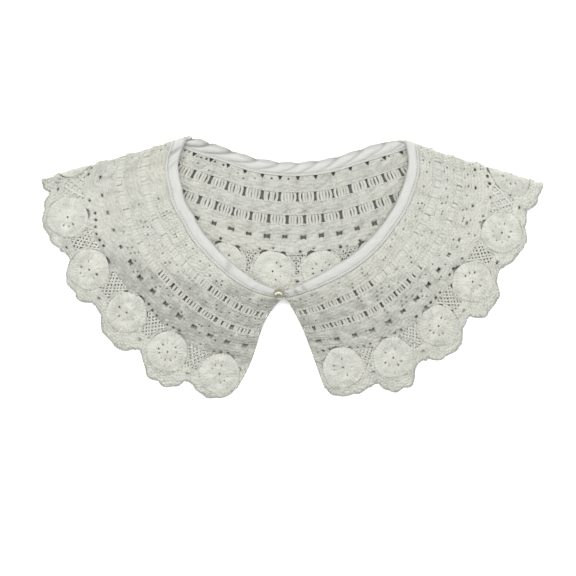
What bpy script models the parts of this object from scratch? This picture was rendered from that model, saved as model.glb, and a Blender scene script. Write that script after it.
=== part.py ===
"""Crocheted collar with a satin-bound neck and a pearl button, buttoned and laid flat.

The cloth is one piece, folded along both shoulders, so that the two fronts lie on the back.
Every piece of it is drawn flat in cloth coordinates and then laid in place:
    along    distance round the collar, measured on the line through the medallions' centres
    down     distance from the neck edge towards the hem
    height   distance from the wrong side of the cloth towards its right side
Sizes are millimetres until a mesh is made. The row frame has +X to the wearer's left,
+Y to the back of the neck, +Z up, and its origin under the middle of the collar.
"""

import math
from collections import namedtuple

import bmesh
import bpy
import numpy as np
from mathutils.geometry import delaunay_2d_cdt

MM = 0.001
# How finely the plan is sampled, and the step that its slopes are measured over.
SAMPLES = 2000
PROBE = 0.25

# The sections that the cloth is laid through, from the left front edge round to the right one.
# neck_x, neck_y: where the section leaves the neck edge; heading: its direction in degrees;
# yoke: distance to the third openwork row; reach: distance to the medallions' centres.
Section = namedtuple("Section", "neck_x neck_y heading yoke reach")
FRONT_LEFT = (
    Section(-2.6, -20.4, 241.2, 54.0, 81.0),
    Section(-17.8, -17.0, 240.7, 56.0, 84.0),
    Section(-45.5, 0.3, 233.1, 63.0, 92.4),
    Section(-71.6, 25.9, 225.0, 65.0, 92.8),
    Section(-82.0, 43.6, 208.6, 66.5, 99.0),
    Section(-91.3, 64.1, 193.0, 66.0, 99.0),
    Section(-94.5, 87.0, 194.5, 69.0, 98.0),
    Section(-88.5, 109.2, 196.0, 72.0, 97.0),
)
BACK = (
    Section(-88.5, 109.2, 196.0, 72.0, 97.0),
    Section(-84.4, 107.9, 214.0, 66.0, 94.0),
    Section(-77.5, 105.6, 234.0, 63.0, 91.0),
    Section(-54.8, 98.4, 249.5, 62.0, 91.0),
    Section(-28.6, 89.8, 260.5, 62.0, 91.0),
    Section(0.0, 86.8, 270.0, 62.0, 91.0),
    Section(29.3, 89.3, 279.5, 62.0, 91.0),
    Section(58.6, 98.1, 289.5, 62.0, 91.0),
    Section(78.5, 103.8, 303.0, 62.0, 91.0),
    Section(88.0, 105.3, 322.0, 61.5, 92.0),
    Section(95.5, 106.4, 342.5, 60.5, 92.7),
)
FRONT_RIGHT = (
    Section(95.5, 106.4, 342.5, 60.5, 92.7),
    Section(97.6, 86.0, 340.0, 61.0, 92.0),
    Section(91.4, 62.4, 336.6, 61.7, 91.5),
    Section(77.1, 37.2, 324.7, 61.3, 90.0),
    Section(59.5, 17.5, 311.8, 64.0, 93.0),
    Section(37.6, 1.9, 300.0, 63.5, 91.5),
    Section(4.0, -16.4, 298.7, 52.0, 78.0),
    Section(-8.4, -20.6, 295.0, 47.0, 73.0),
)
ROW_THREE_DOWN = 62.0
CENTRES_DOWN = 91.0

# How far in from its end the cloth's front edge lies, at each distance from the neck.
# The binding's ends are cut square to the neck, and the crochet below them is hollowed.
EdgeStep = namedtuple("EdgeStep", "down left right")
FRONT_EDGE = (
    EdgeStep(0.0, 4.8, 4.1),
    EdgeStep(8.3, 0.8, 0.0),
    EdgeStep(10.4, 3.4, 1.4),
    EdgeStep(14.4, 5.9, 4.2),
    EdgeStep(24.0, 7.5, 4.9),
    EdgeStep(38.0, 7.5, 5.4),
    EdgeStep(51.0, 5.4, 5.2),
    EdgeStep(71.0, 1.4, 3.4),
    EdgeStep(86.0, 0.0, 1.8),
    EdgeStep(103.0, 0.0, 0.0),
)

# Rows of long stitches: a gap between each group of them, all the way round.
OpenRow = namedtuple("OpenRow", "start end gap pitch")
OPEN_ROWS = (
    OpenRow(24.0, 32.0, 2.9, 15.1),
    OpenRow(43.2, 50.8, 3.1, 15.2),
    OpenRow(59.6, 63.9, 4.5, 15.4),
)

# How thick the cloth is at each distance from the neck: thin under the binding, ribbed between rows.
Rib = namedtuple("Rib", "down thickness")
RIBS = (
    Rib(0.0, 1.2),
    Rib(11.0, 1.2),
    Rib(17.5, 2.2),
    Rib(24.0, 1.6),
    Rib(32.0, 1.6),
    Rib(37.6, 2.2),
    Rib(43.2, 1.6),
    Rib(50.8, 1.6),
    Rib(55.2, 2.1),
    Rib(59.6, 1.7),
    Rib(63.9, 1.7),
    Rib(69.0, 1.9),
    Rib(76.0, 1.6),
    Rib(130.0, 1.5),
)
RIB_LINES = (17.5, 37.6, 55.2, 69.0)
RIB_STEP = 13.0

# Medallions: crocheted discs set into the border. A centre's place along the collar is measured
# from the start of its panel, and on the back from the middle of it. Lobe is how far the hem
# reaches past the centre.
Medallion = namedtuple("Medallion", "panel along lobe")
MEDALLION_TABLE = (
    Medallion("front left", 19.0, 21.8),
    Medallion("front left", 66.6, 26.0),
    Medallion("front left", 114.2, 26.0),
    Medallion("front left", 161.8, 21.5),
    Medallion("front left", 209.4, 21.5),
    Medallion("back", -200.0, 27.0),
    Medallion("back", -152.5, 22.0),
    Medallion("back", -105.0, 22.0),
    Medallion("back", -57.5, 20.5),
    Medallion("back", -16.0, 19.5),
    Medallion("back", 25.5, 19.5),
    Medallion("back", 71.8, 20.5),
    Medallion("back", 118.1, 22.0),
    Medallion("back", 164.4, 22.0),
    Medallion("front right", 1.2, 27.5),
    Medallion("front right", 51.0, 22.0),
    Medallion("front right", 98.8, 26.0),
    Medallion("front right", 145.6, 25.0),
    Medallion("front right", 192.0, 27.5),
    Medallion("front right", 235.2, 24.5),
)
MEDALLION_RADIUS = 16.8
MEDALLION_SIDES = 16
CLOSING_STEPS = 6
GUIDE_MARGIN = 1.3
# Rings of one medallion: radius, points on the ring, thickness on a front and on the back.
Ring = namedtuple("Ring", "radius points front back")
MEDALLION_RINGS = (
    Ring(MEDALLION_RADIUS, MEDALLION_SIDES, 1.8, 1.9),
    Ring(12.6, 10, 3.3, 2.6),
    Ring(8.2, 8, 2.1, 1.9),
    Ring(0.0, 1, 3.3, 2.5),
)
SEAM = 0.3
GUIDE_STEP = 5.5
ARCH_GAP = 1.7
ARCH_GAP_ANGLES = (0.0, 45.0, -45.0)

# The scalloped hem: how far its notches and lobes reach past the medallions' centres.
NOTCH = 14.0
LONGEST_LOBE = 28.0
LOBE_SQUARENESS = 3.0
LOBE_ROUNDNESS = 0.8
SCALLOP = 0.7
SCALLOPS_A_LOBE = 3
SCALLOP_FADE = 4
HEM_STEPS = 8
CORNER_RADIUS = 11.0
CORNER_STEPS = 5

# How the layers lie: the back on the floor, the fronts over it and turned round it at the
# shoulders. Past the back's hem, measured as an ellipse, a front sinks to the floor, and what
# spans the drop stands a little arched.
BACK_DEPTH = 2.3
FOLD_RADIUS = 2.0
FOLD_INSIDE = 0.9
FOLD_INSIDE_AT_NECK = 1.5
OVER_BACK = 3.1
OVER_BACK_AT_NECK = 4.3
FOLD_EASE = 18.0
FOLD_GUIDE_TURNS = (0.5, 1.0)
FOLD_SEARCH = 80.0
JUST_PAST = 1e-4
NECK_ZONE = 12.0
NECK_ZONE_END = 25.0
BACK_HALF_WIDTH = 210.0
BACK_LENGTH = 107.5
BACK_CENTRE_Y = 85.0
BACK_EDGE = 1.04
FLOOR_EDGE = 1.42
ARCH_HEIGHT = 2.0
ARCH_FROM = 30.0
ARCH_TO = 76.0
ARCH_EASE = 12.0

# Neck binding: satin tape folded over the neck edge.
NECK_EDGE = 1.1
BINDING_WIDTH = 10.4
BOUND_WIDTH = 11.0
BOUND_EASE = 5.0
TAPE = 0.8
TAPE_ROUND = 0.7
STATION_STEP = 10.0
FIRST_STATION = 12.0
# Where the stations beside a shoulder lie: distance in from its crease, in quarter turns of the
# bend up to 1 and then in millimetres past the bend.
FOLD_TURNS = (0.25, 0.5, 0.75, 1.0)
PAST_FOLD = (3.0, 7.0)

# Closure: a pearl bead on a thread shank, held by a thread loop.
BEAD_X = -10.8
BEAD_Y = -22.6
BEAD_RADIUS = 4.6
SHANK_RADIUS = 0.7
SHANK_LENGTH = 1.6
BEAD_SIDES = 14
BEAD_BANDS = 7
BEAD_MERGE = 1e-5
LOOP_THREAD = 0.8
LOOP_SLACK = 0.8
LOOP_ROOT_X = -3.0
LOOP_SPREAD = 1.2
LOOP_FROM = 60.0
LOOP_TO = 300.0
LOOP_POINTS = 9

# Moves the sections' frame so that the collar's box is centred over the origin.
CENTRING = (-0.5, 0.0)

COTTON = (0.62, 0.62, 0.54)
SATIN = (0.74, 0.74, 0.72)
PEARL = (0.80, 0.77, 0.68)


def ease(amount):
    """0 to 1 with a smooth start and end."""
    t = np.clip(amount, 0.0, 1.0)
    return t * t * (3.0 - 2.0 * t)


def curve_through(knots, values, at):
    """A smooth curve through the values at the knots, read at the places asked for."""
    slopes = np.gradient(values, knots)
    at = np.clip(at, knots[0], knots[-1])
    i = np.clip(np.searchsorted(knots, at) - 1, 0, len(knots) - 2)
    step = knots[i + 1] - knots[i]
    t = (at - knots[i]) / step
    start = values[i] * (1 + 2 * t) * (1 - t) ** 2 + values[i + 1] * t * t * (3 - 2 * t)
    return start + step * (slopes[i] * t * (1 - t) ** 2 - slopes[i + 1] * t * t * (1 - t))


class Panel:
    """One front or the back: its sections, and where it starts and ends along the collar."""

    def __init__(self, sections, start):
        table = np.array(sections)
        heading = np.radians(table[:, 2])
        centres = table[:, :2] + table[:, 4:5] * np.stack([np.cos(heading), np.sin(heading)], 1)
        steps = np.linalg.norm(np.diff(centres, axis=0), axis=1)
        self.table = table
        self.knots = start + np.concatenate([[0.0], np.cumsum(steps)])
        self.end = self.knots[-1]

    def plan(self, along, down):
        """Where cloth coordinates lie in plan if the shoulders were creased flat."""
        columns = [curve_through(self.knots, self.table[:, k], along) for k in range(5)]
        neck_x, neck_y, heading, yoke, reach = columns
        upper = np.minimum(down, ROW_THREE_DOWN) / ROW_THREE_DOWN * yoke
        middle = np.clip((down - ROW_THREE_DOWN) / (CENTRES_DOWN - ROW_THREE_DOWN), 0.0, 1.0)
        outward = upper + middle * (reach - yoke) + np.maximum(down - CENTRES_DOWN, 0.0)
        heading = np.radians(heading)
        return np.stack([neck_x + outward * np.cos(heading), neck_y + outward * np.sin(heading)], -1)


LEFT = Panel(FRONT_LEFT, 0.0)
MIDDLE = Panel(BACK, LEFT.end)
RIGHT = Panel(FRONT_RIGHT, MIDDLE.end)
FOLDS = (LEFT.end, MIDDLE.end)
LENGTH = RIGHT.end
CREASES = (BACK[0], BACK[-1])


def plan(along, down):
    """Plan position of cloth coordinates on whichever panel they fall."""
    along, down = np.broadcast_arrays(np.asarray(along, float), np.asarray(down, float))
    left = LEFT.plan(along, down)
    middle = MIDDLE.plan(along, down)
    right = RIGHT.plan(along, down)
    on_left = (along <= FOLDS[0])[..., None]
    on_right = (along > FOLDS[1])[..., None]
    return np.where(on_left, left, np.where(on_right, right, middle))


def crease(along, flat):
    """Distance in plan to the nearer shoulder crease, and the direction that points out past it."""
    nearer = (np.asarray(along) > (FOLDS[0] + FOLDS[1]) / 2).astype(int)
    point = np.array([(c.neck_x, c.neck_y) for c in CREASES])[nearer]
    heading = np.radians([c.heading for c in CREASES])
    sides = np.array([1.0, -1.0])
    outward = np.stack([np.sin(heading) * sides, -np.cos(heading) * sides], -1)
    outward = outward[nearer]
    return -((flat - point) * outward).sum(-1), outward


def on_back(along):
    """True where the cloth is the back panel."""
    return (along > FOLDS[0]) & (along <= FOLDS[1])


def back_share(along, flat):
    """0 on the fronts, 1 on the back, and in between round the bend of a shoulder."""
    distance, _ = crease(along, flat)
    turned = np.clip(distance / (math.pi / 2 * FOLD_RADIUS), 0.0, 1.0)
    return ease(0.5 + 0.5 * np.where(on_back(along), turned, -turned))


def under_front(along, down, flat):
    """Height of a front's wrong side above the floor."""
    near_neck = 1.0 - ease((down - NECK_ZONE) / (NECK_ZONE_END - NECK_ZONE))
    inside = FOLD_INSIDE + near_neck * (FOLD_INSIDE_AT_NECK - FOLD_INSIDE)
    at_fold = BACK_DEPTH + 2.0 * inside
    resting = OVER_BACK + near_neck * (OVER_BACK_AT_NECK - OVER_BACK)
    distance, _ = crease(along, flat)
    past_bend = np.maximum(distance - math.pi / 2 * FOLD_RADIUS, 0.0)
    near_fold = np.exp(-past_bend / FOLD_EASE)
    lifted = resting + (at_fold - resting) * near_fold
    ellipse = np.hypot(flat[..., 0] / BACK_HALF_WIDTH, (flat[..., 1] - BACK_CENTRE_Y) / BACK_LENGTH)
    off_back = ease((ellipse - BACK_EDGE) / (FLOOR_EDGE - BACK_EDGE)) * (1.0 - near_fold)
    arch = ease((down - ARCH_FROM) / ARCH_EASE) * ease((ARCH_TO - down) / ARCH_EASE)
    return lifted * (1.0 - off_back) + ARCH_HEIGHT * arch * off_back, inside


def place(along, down, height):
    """Lays cloth coordinates in the row frame, round the bend at each shoulder."""
    along, down, height = np.broadcast_arrays(
        np.asarray(along, float), np.asarray(down, float), np.asarray(height, float)
    )
    flat = plan(along, down)
    distance, outward = crease(along, flat)
    under, inside = under_front(along, down, flat)
    quarter = math.pi / 2 * FOLD_RADIUS
    turn = np.clip(distance / FOLD_RADIUS, 0.0, math.pi / 2)
    radius = inside + height
    side = np.where(on_back(along), -1.0, 1.0)
    bent = distance < quarter
    moved = np.where(bent, distance - quarter + radius * np.cos(turn), 0.0)
    axis_height = BACK_DEPTH + inside
    level = np.where(on_back(along), BACK_DEPTH - height, under + height)
    z = np.where(bent, axis_height + side * radius * np.sin(turn), level)
    return np.concatenate([flat + moved[..., None] * outward, z[..., None]], -1)


def stretch(along, down):
    """Plan length of one millimetre of cloth coordinate along a row."""
    low = np.where(np.abs(along - FOLDS[0]) < PROBE, along, along - PROBE)
    low = np.where(np.abs(along - FOLDS[1]) < PROBE, along, low)
    high = along + PROBE
    return np.linalg.norm(plan(high, down) - plan(low, down), axis=-1) / (high - low)


def front_edges(down):
    """Where the cloth's two front edges lie at a distance from the neck."""
    downs = [e.down for e in FRONT_EDGE]
    left = np.interp(down, downs, [e.left for e in FRONT_EDGE])
    right = np.interp(down, downs, [e.right for e in FRONT_EDGE])
    return left, LENGTH - right


def evenly(down, pitch):
    """Places along a row at an even spacing in plan, half a step in from each end."""
    fine = np.linspace(*front_edges(down), SAMPLES)
    steps = np.linalg.norm(np.diff(plan(fine, down), axis=0), axis=1)
    run = np.concatenate([[0.0], np.cumsum(steps)])
    count = max(1, round(run[-1] / pitch))
    return np.interp((np.arange(count) + 0.5) / count * run[-1], run, fine)


def medallion_centres():
    """Where along the collar each medallion's centre lies."""
    starts = {"front left": 0.0, "back": sum(FOLDS) / 2, "front right": FOLDS[1]}
    return np.array([starts[m.panel] + m.along for m in MEDALLION_TABLE])


MEDALLIONS = medallion_centres()


def hem(along):
    """How far from the neck the scalloped hem lies at a place along the collar."""
    between = (MEDALLIONS[1:] + MEDALLIONS[:-1]) / 2
    edges = np.concatenate([[-MEDALLIONS[0]], between, [2 * LENGTH - MEDALLIONS[-1]]])
    i = np.clip(np.searchsorted(edges, along) - 1, 0, len(MEDALLIONS) - 1)
    lobe = np.array([m.lobe for m in MEDALLION_TABLE])[i]
    offset = along - MEDALLIONS[i]
    half = np.where(offset < 0, MEDALLIONS[i] - edges[i], edges[i + 1] - MEDALLIONS[i])
    t = np.clip(np.abs(offset) / half, 0.0, 1.0)
    reach = NOTCH + (lobe - NOTCH) * (1.0 - t**LOBE_SQUARENESS) ** LOBE_ROUNDNESS
    wave = SCALLOP * np.cos(SCALLOPS_A_LOBE * math.pi * offset / half) * (1.0 - t**SCALLOP_FADE)
    corner = CORNER_RADIUS - np.minimum(np.minimum(along, LENGTH - along), CORNER_RADIUS)
    rounding = CORNER_RADIUS - np.sqrt(np.maximum(CORNER_RADIUS**2 - corner**2, 0.0))
    return CENTRES_DOWN + reach + wave - rounding


def hem_stops():
    """Places along the hem that carry a point of its outline, notches included."""
    between = (MEDALLIONS[1:] + MEDALLIONS[:-1]) / 2
    stops = []
    for low, high in zip(between[:-1], between[1:]):
        stops.extend(low + (high - low) * k / HEM_STEPS for k in range(HEM_STEPS))
    turns = 1.0 - np.cos(np.linspace(0.0, math.pi / 2, CORNER_STEPS + 1)[1:])
    corner = list(CORNER_RADIUS * turns)
    inner = list(np.linspace(corner[-1], between[0], HEM_STEPS // 2 + 1)[1:-1])
    first = corner + inner
    return np.array(first + stops + [between[-1]] + [LENGTH - s for s in first[::-1]])


def thickness(down):
    """How thick the ribbed cloth is at a distance from the neck."""
    return np.interp(down, [r.down for r in RIBS], [r.thickness for r in RIBS])


def in_loop(points, loop):
    """True for each point that lies inside a closed loop."""
    x, y = points[:, 0], points[:, 1]
    inside = np.zeros(len(points), bool)
    for (x0, y0), (x1, y1) in zip(loop, np.roll(loop, -1, axis=0)):
        crosses = (y0 > y) != (y1 > y)
        slope = (x1 - x0) / (y1 - y0) if y1 != y0 else 0.0
        inside ^= crosses & (x < x0 + slope * (y - y0))
    return inside


def flat_mesh(outline, gaps, guides, loose):
    """Points and triangles of a flat piece of cloth, with its gaps left out."""
    points, edges = [], []
    for loop in [outline, *gaps]:
        first = len(points)
        points.extend(loop)
        count = len(loop)
        edges.extend((first + k, first + (k + 1) % count) for k in range(count))
    for line in guides:
        first = len(points)
        points.extend(line)
        edges.extend((first + k, first + k + 1) for k in range(len(line) - 1))
    points.extend(loose)
    flat = [tuple(float(c) for c in p) for p in points]
    made, _, faces, *_ = delaunay_2d_cdt(flat, edges, [], 1, 1e-4)
    made = np.array([tuple(p) for p in made])
    faces = np.array(faces)
    middles = made[faces].mean(axis=1)
    keep = in_loop(middles, outline)
    for loop in gaps:
        keep &= ~in_loop(middles, loop)
    used, faces = np.unique(faces[keep], return_inverse=True)
    return made[used], faces.reshape(-1, 3)


def inside_and_outside(along, down, front, back):
    """Heights of the wrong and right side, from the thickness on a front and on the back.

    A front is plain underneath and ribbed on top. The back is flat on the floor, and its ribs
    show on the wrong side. Under the binding both are a thin even edge.
    """
    share = back_share(along, plan(along, down))
    bound = 1.0 - ease((down - BOUND_WIDTH) / BOUND_EASE)
    lower_back = (BACK_DEPTH - back) * (1.0 - bound)
    upper_back = BACK_DEPTH + bound * (front - BACK_DEPTH)
    return share * lower_back, (1.0 - share) * front + share * upper_back


def wall(name, flat, faces, low, high, material):
    """A cloth wall between two heights over a flat mesh, as an object."""
    count = len(flat)
    surface = bpy.data.meshes.new(name)
    surface.from_pydata([(x * MM, y * MM, 0.0) for x, y in flat], [], faces.tolist())
    sheet = bpy.data.objects.new(name, surface)
    COLLECTION.objects.link(sheet)
    shell = sheet.modifiers.new("Shell", "SOLIDIFY")
    shell.thickness = BACK_DEPTH * MM
    shell.offset = 1.0
    bpy.context.view_layer.update()
    solid = bpy.data.meshes.new_from_object(sheet.evaluated_get(bpy.context.evaluated_depsgraph_get()))
    sheet.modifiers.clear()
    sheet.data = solid
    laid = np.concatenate(
        [place(flat[:, 0], flat[:, 1], low), place(flat[:, 0], flat[:, 1], high)]
    )
    assert len(solid.vertices) == 2 * count
    solid.vertices.foreach_set("co", (laid * MM).astype(np.float32).ravel())
    face_outwards(solid)
    solid.materials.append(material)
    return sheet


def face_outwards(mesh):
    """Points every face of a closed mesh outwards."""
    shape = bmesh.new()
    shape.from_mesh(mesh)
    bmesh.ops.recalc_face_normals(shape, faces=shape.faces)
    shape.to_mesh(mesh)
    shape.free()


def at_distance(fold, side, reach, down):
    """Place along the collar that lies a distance in from a shoulder's crease."""
    fine = fold + side * (np.linspace(0.0, FOLD_SEARCH, SAMPLES) + JUST_PAST)
    distance, _ = crease(fine, plan(fine, down))
    return float(np.interp(reach, distance, fine))


def fold_guides(low, high, step):
    """Lines across the cloth round each shoulder bend, so that the wall can turn there."""
    downs = np.linspace(low, high, max(2, round((high - low) / step) + 1))
    quarter = math.pi / 2 * FOLD_RADIUS
    guides = []
    for fold in FOLDS:
        guides.append([(fold, down) for down in downs])
        for side in (-1.0, 1.0):
            for turn in FOLD_GUIDE_TURNS:
                guides.append([(at_distance(fold, side, turn * quarter, d), d) for d in downs])
    return guides


def neck_stations():
    """Lines across the bound edge that the cloth and its binding both turn on.

    Each is a place along the collar at the neck edge and one at the inner end of the bound edge.
    """
    quarter = math.pi / 2 * FOLD_RADIUS
    reaches = [turn * quarter for turn in FOLD_TURNS] + [quarter + past for past in PAST_FOLD]
    beside = []
    for fold in FOLDS:
        beside.append((fold, fold))
        for side in (-1.0, 1.0):
            for reach in reaches:
                ends = [at_distance(fold, side, reach, down) for down in (0.0, BOUND_WIDTH)]
                beside.append(tuple(ends))
    beside.sort()
    half = len(beside) // 2
    spans = (
        (FIRST_STATION, min(beside[0])),
        (max(beside[half - 1]), min(beside[half])),
        (max(beside[-1]), LENGTH - FIRST_STATION),
    )
    stations = list(beside)
    for first, last in spans:
        fine = np.linspace(first, last, SAMPLES)
        steps = np.linalg.norm(np.diff(plan(fine, BINDING_WIDTH / 2), axis=0), axis=1)
        run = np.concatenate([[0.0], np.cumsum(steps)])
        count = round(run[-1] / STATION_STEP)
        own = np.interp(np.arange(count + 1) / count * run[-1], run, fine)
        stations.extend((float(a), float(a)) for a in own[1:-1])
    stations += [(FIRST_STATION, FIRST_STATION), (LENGTH - FIRST_STATION, LENGTH - FIRST_STATION)]
    return sorted(stations)


def on_station(station, down):
    """Place along the collar of a station's line at a distance from the neck."""
    return station[0] + (station[1] - station[0]) * down / BOUND_WIDTH


def gap_loops():
    """Outlines of the gaps in the openwork rows, clear of the shoulder bends."""
    loops = []
    for row in OPEN_ROWS:
        middle = (row.start + row.end) / 2
        for along in evenly(middle, row.pitch):
            distance, _ = crease(along, plan(along, middle))
            if distance < math.pi / 2 * FOLD_RADIUS + row.gap:
                continue
            half = row.gap / 2 / stretch(along, middle)
            loops.append(
                [
                    (along - half, row.start),
                    (along + half, row.start),
                    (along + half, row.end),
                    (along - half, row.end),
                ]
            )
    return loops


def medallion_loop(along, radius, gap):
    """A ring round a medallion's centre. With a gap, it bulges where the lace arches over it."""
    points = []
    for k in range(MEDALLION_SIDES):
        angle = 360.0 * k / MEDALLION_SIDES
        bulge = gap if min(angle, angle - 360.0, key=abs) in ARCH_GAP_ANGLES else 0.0
        reach = radius + bulge
        points.append(round_point(along, reach, math.radians(angle)))
    return points


def on_fold(along):
    """True for a medallion that a shoulder's bend crosses."""
    return min(abs(along - fold) for fold in FOLDS) < MEDALLION_RADIUS + ARCH_GAP


def round_point(along, radius, angle):
    """Cloth coordinates of a point round a medallion; angle 0 points at the neck."""
    down = CENTRES_DOWN - radius * math.cos(angle)
    across = radius * math.sin(angle)
    if on_fold(along):
        return along + across / float(stretch(np.array(along), np.array(down))), down
    centre = plan(along, CENTRES_DOWN)
    outward = plan(along, CENTRES_DOWN + PROBE) - centre
    outward /= np.linalg.norm(outward)
    sideways = np.array([-outward[1], outward[0]])
    target = centre + outward * (down - CENTRES_DOWN) + sideways * across
    found = np.array([along + across, down])
    for _ in range(CLOSING_STEPS):
        here = plan(*found)
        by_along = (plan(found[0] + PROBE, found[1]) - here) / PROBE
        by_down = (plan(found[0], found[1] + PROBE) - here) / PROBE
        found = found + np.linalg.solve(np.stack([by_along, by_down], 1), target - here)
    return float(found[0]), float(found[1])


def from_centre(along, flat):
    """Distance of each point of a flat mesh from a medallion's centre, along the cloth."""
    if on_fold(along):
        across = (flat[:, 0] - along) * stretch(flat[:, 0], flat[:, 1])
        return np.hypot(across, flat[:, 1] - CENTRES_DOWN)
    return np.linalg.norm(plan(flat[:, 0], flat[:, 1]) - plan(along, CENTRES_DOWN), axis=1)


def yoke_piece(material):
    """The crocheted cloth: ribs and openwork rows, then the lace round the medallions and the hem."""
    stations = neck_stations()
    left, right = front_edges(NECK_EDGE)
    neck = [(left, NECK_EDGE)]
    neck += [(on_station(s, NECK_EDGE), NECK_EDGE) for s in stations]
    neck += [(right, NECK_EDGE)]
    hem_line = [(a, float(hem(np.array(a)))) for a in hem_stops()[::-1]]
    downs = [e.down for e in FRONT_EDGE if NECK_EDGE < e.down < CENTRES_DOWN]
    downs += [(row.start + row.end) / 2 for row in OPEN_ROWS[1:]]
    edges = [(*front_edges(down), down) for down in sorted(downs)]
    corners = [float(hem(np.array(end))) for end in (0.0, LENGTH)]
    right_edge = [(edge[1], edge[2]) for edge in edges] + [(LENGTH, corners[1])]
    left_edge = [(0.0, corners[0])] + [(edge[0], edge[2]) for edge in edges[::-1]]
    outline = neck + right_edge + hem_line + left_edge
    gaps = gap_loops()
    gaps += [medallion_loop(a, MEDALLION_RADIUS + SEAM, ARCH_GAP) for a in MEDALLIONS]
    loose = []
    for down in RIB_LINES:
        loose += [(a, down) for a in evenly(down, RIB_STEP)]
    guides = fold_guides(BOUND_WIDTH, CENTRES_DOWN + LONGEST_LOBE + 1.0, GUIDE_STEP)
    guides += [[(on_station(s, d), d) for d in (NECK_EDGE, BOUND_WIDTH)] for s in stations]
    guides.append([(s[1], BOUND_WIDTH) for s in stations])
    flat, faces = flat_mesh(outline, gaps, guides, loose)
    deep = thickness(flat[:, 1])
    low, high = inside_and_outside(flat[:, 0], flat[:, 1], deep, deep)
    return wall("yoke", flat, faces, low, high, material)


def medallion_piece(name, along, material):
    """One crocheted medallion: a raised centre and a raised rim, with a sunk ring between them."""
    outline = medallion_loop(along, MEDALLION_RADIUS, 0.0)
    guides = []
    for ring in MEDALLION_RINGS[1:-1]:
        turns = [2 * math.pi * (k + 0.5) / ring.points for k in range(ring.points + 1)]
        guides.append([round_point(along, ring.radius, turn) for turn in turns])
    if on_fold(along):
        reach = GUIDE_MARGIN * MEDALLION_RADIUS
        guides += fold_guides(CENTRES_DOWN - reach, CENTRES_DOWN + reach, GUIDE_STEP)
    flat, faces = flat_mesh(outline, [], guides, [(along, CENTRES_DOWN)])
    radius = from_centre(along, flat)
    rings = MEDALLION_RINGS[::-1]
    radii = [r.radius for r in rings]
    front = np.interp(radius, radii, [r.front for r in rings])
    back = np.interp(radius, radii, [r.back for r in rings])
    low, high = inside_and_outside(flat[:, 0], flat[:, 1], front, back)
    return wall(name, flat, faces, low, high, material)


def binding_piece(material):
    """Satin tape folded over the neck edge, closed round it on the neck side."""
    cloth = thickness(0.0)
    lower, upper = -SEAM - TAPE, cloth + SEAM + TAPE
    profile = (
        (BINDING_WIDTH, lower),
        (TAPE_ROUND, lower),
        (0.0, lower + TAPE_ROUND),
        (0.0, upper - TAPE_ROUND),
        (TAPE_ROUND, upper),
        (BINDING_WIDTH, upper),
        (BINDING_WIDTH, upper - TAPE),
        (TAPE, upper - TAPE),
        (TAPE, lower + TAPE),
        (BINDING_WIDTH, lower + TAPE),
    )
    lines = [[(float(front_edges(down)[0]), down, height) for down, height in profile]]
    for station in neck_stations():
        lines.append([(on_station(station, down), down, height) for down, height in profile])
    lines.append([(float(front_edges(down)[1]), down, height) for down, height in profile])
    shape = bmesh.new()
    rings = []
    for line in lines:
        rings.append([shape.verts.new(tuple(place(*point) * MM)) for point in line])
    count = len(profile)
    for first, second in zip(rings[:-1], rings[1:]):
        for k in range(count):
            nxt = (k + 1) % count
            shape.faces.new((first[k], first[nxt], second[nxt], second[k]))
    shape.faces.new(rings[0])
    shape.faces.new(rings[-1][::-1])
    return finished("neck_binding", shape, material)


def finished(name, shape, material):
    """An object made from a closed shape, with its faces pointing out."""
    bmesh.ops.recalc_face_normals(shape, faces=shape.faces)
    mesh = bpy.data.meshes.new(name)
    shape.to_mesh(mesh)
    shape.free()
    mesh.materials.append(material)
    piece = bpy.data.objects.new(name, mesh)
    COLLECTION.objects.link(piece)
    return piece


def binding_top():
    """Height of the binding's upper face where the fronts meet."""
    top = thickness(0.0) + SEAM + TAPE
    ends = [place(a, BINDING_WIDTH / 2, top)[2] for a in (FIRST_STATION, LENGTH - FIRST_STATION)]
    return float(max(ends))


def button_piece(material):
    """A pearl bead on its thread shank, seated on the left front's end of the binding."""
    seat = binding_top() + SEAM
    middle = seat + SHANK_LENGTH + BEAD_RADIUS
    low = -math.acos(SHANK_RADIUS / BEAD_RADIUS)
    profile = []
    for k in range(BEAD_BANDS + 1):
        angle = math.pi / 2 + (low - math.pi / 2) * k / BEAD_BANDS
        profile.append((BEAD_RADIUS * math.cos(angle), middle + BEAD_RADIUS * math.sin(angle)))
    profile[0] = (0.0, middle + BEAD_RADIUS)
    profile += [(SHANK_RADIUS, seat), (0.0, seat)]
    mesh = bpy.data.meshes.new("button")
    lines = [(k, k + 1) for k in range(len(profile) - 1)]
    mesh.from_pydata([(x * MM, 0.0, z * MM) for x, z in profile], lines, [])
    mesh.materials.append(material)
    bead = bpy.data.objects.new("button", mesh)
    COLLECTION.objects.link(bead)
    bead.location = (BEAD_X * MM, BEAD_Y * MM, 0.0)
    turned = bead.modifiers.new("Turned", "SCREW")
    turned.steps = BEAD_SIDES
    turned.render_steps = BEAD_SIDES
    turned.use_merge_vertices = True
    turned.merge_threshold = BEAD_MERGE
    turned.use_smooth_shade = True
    return bead


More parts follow.
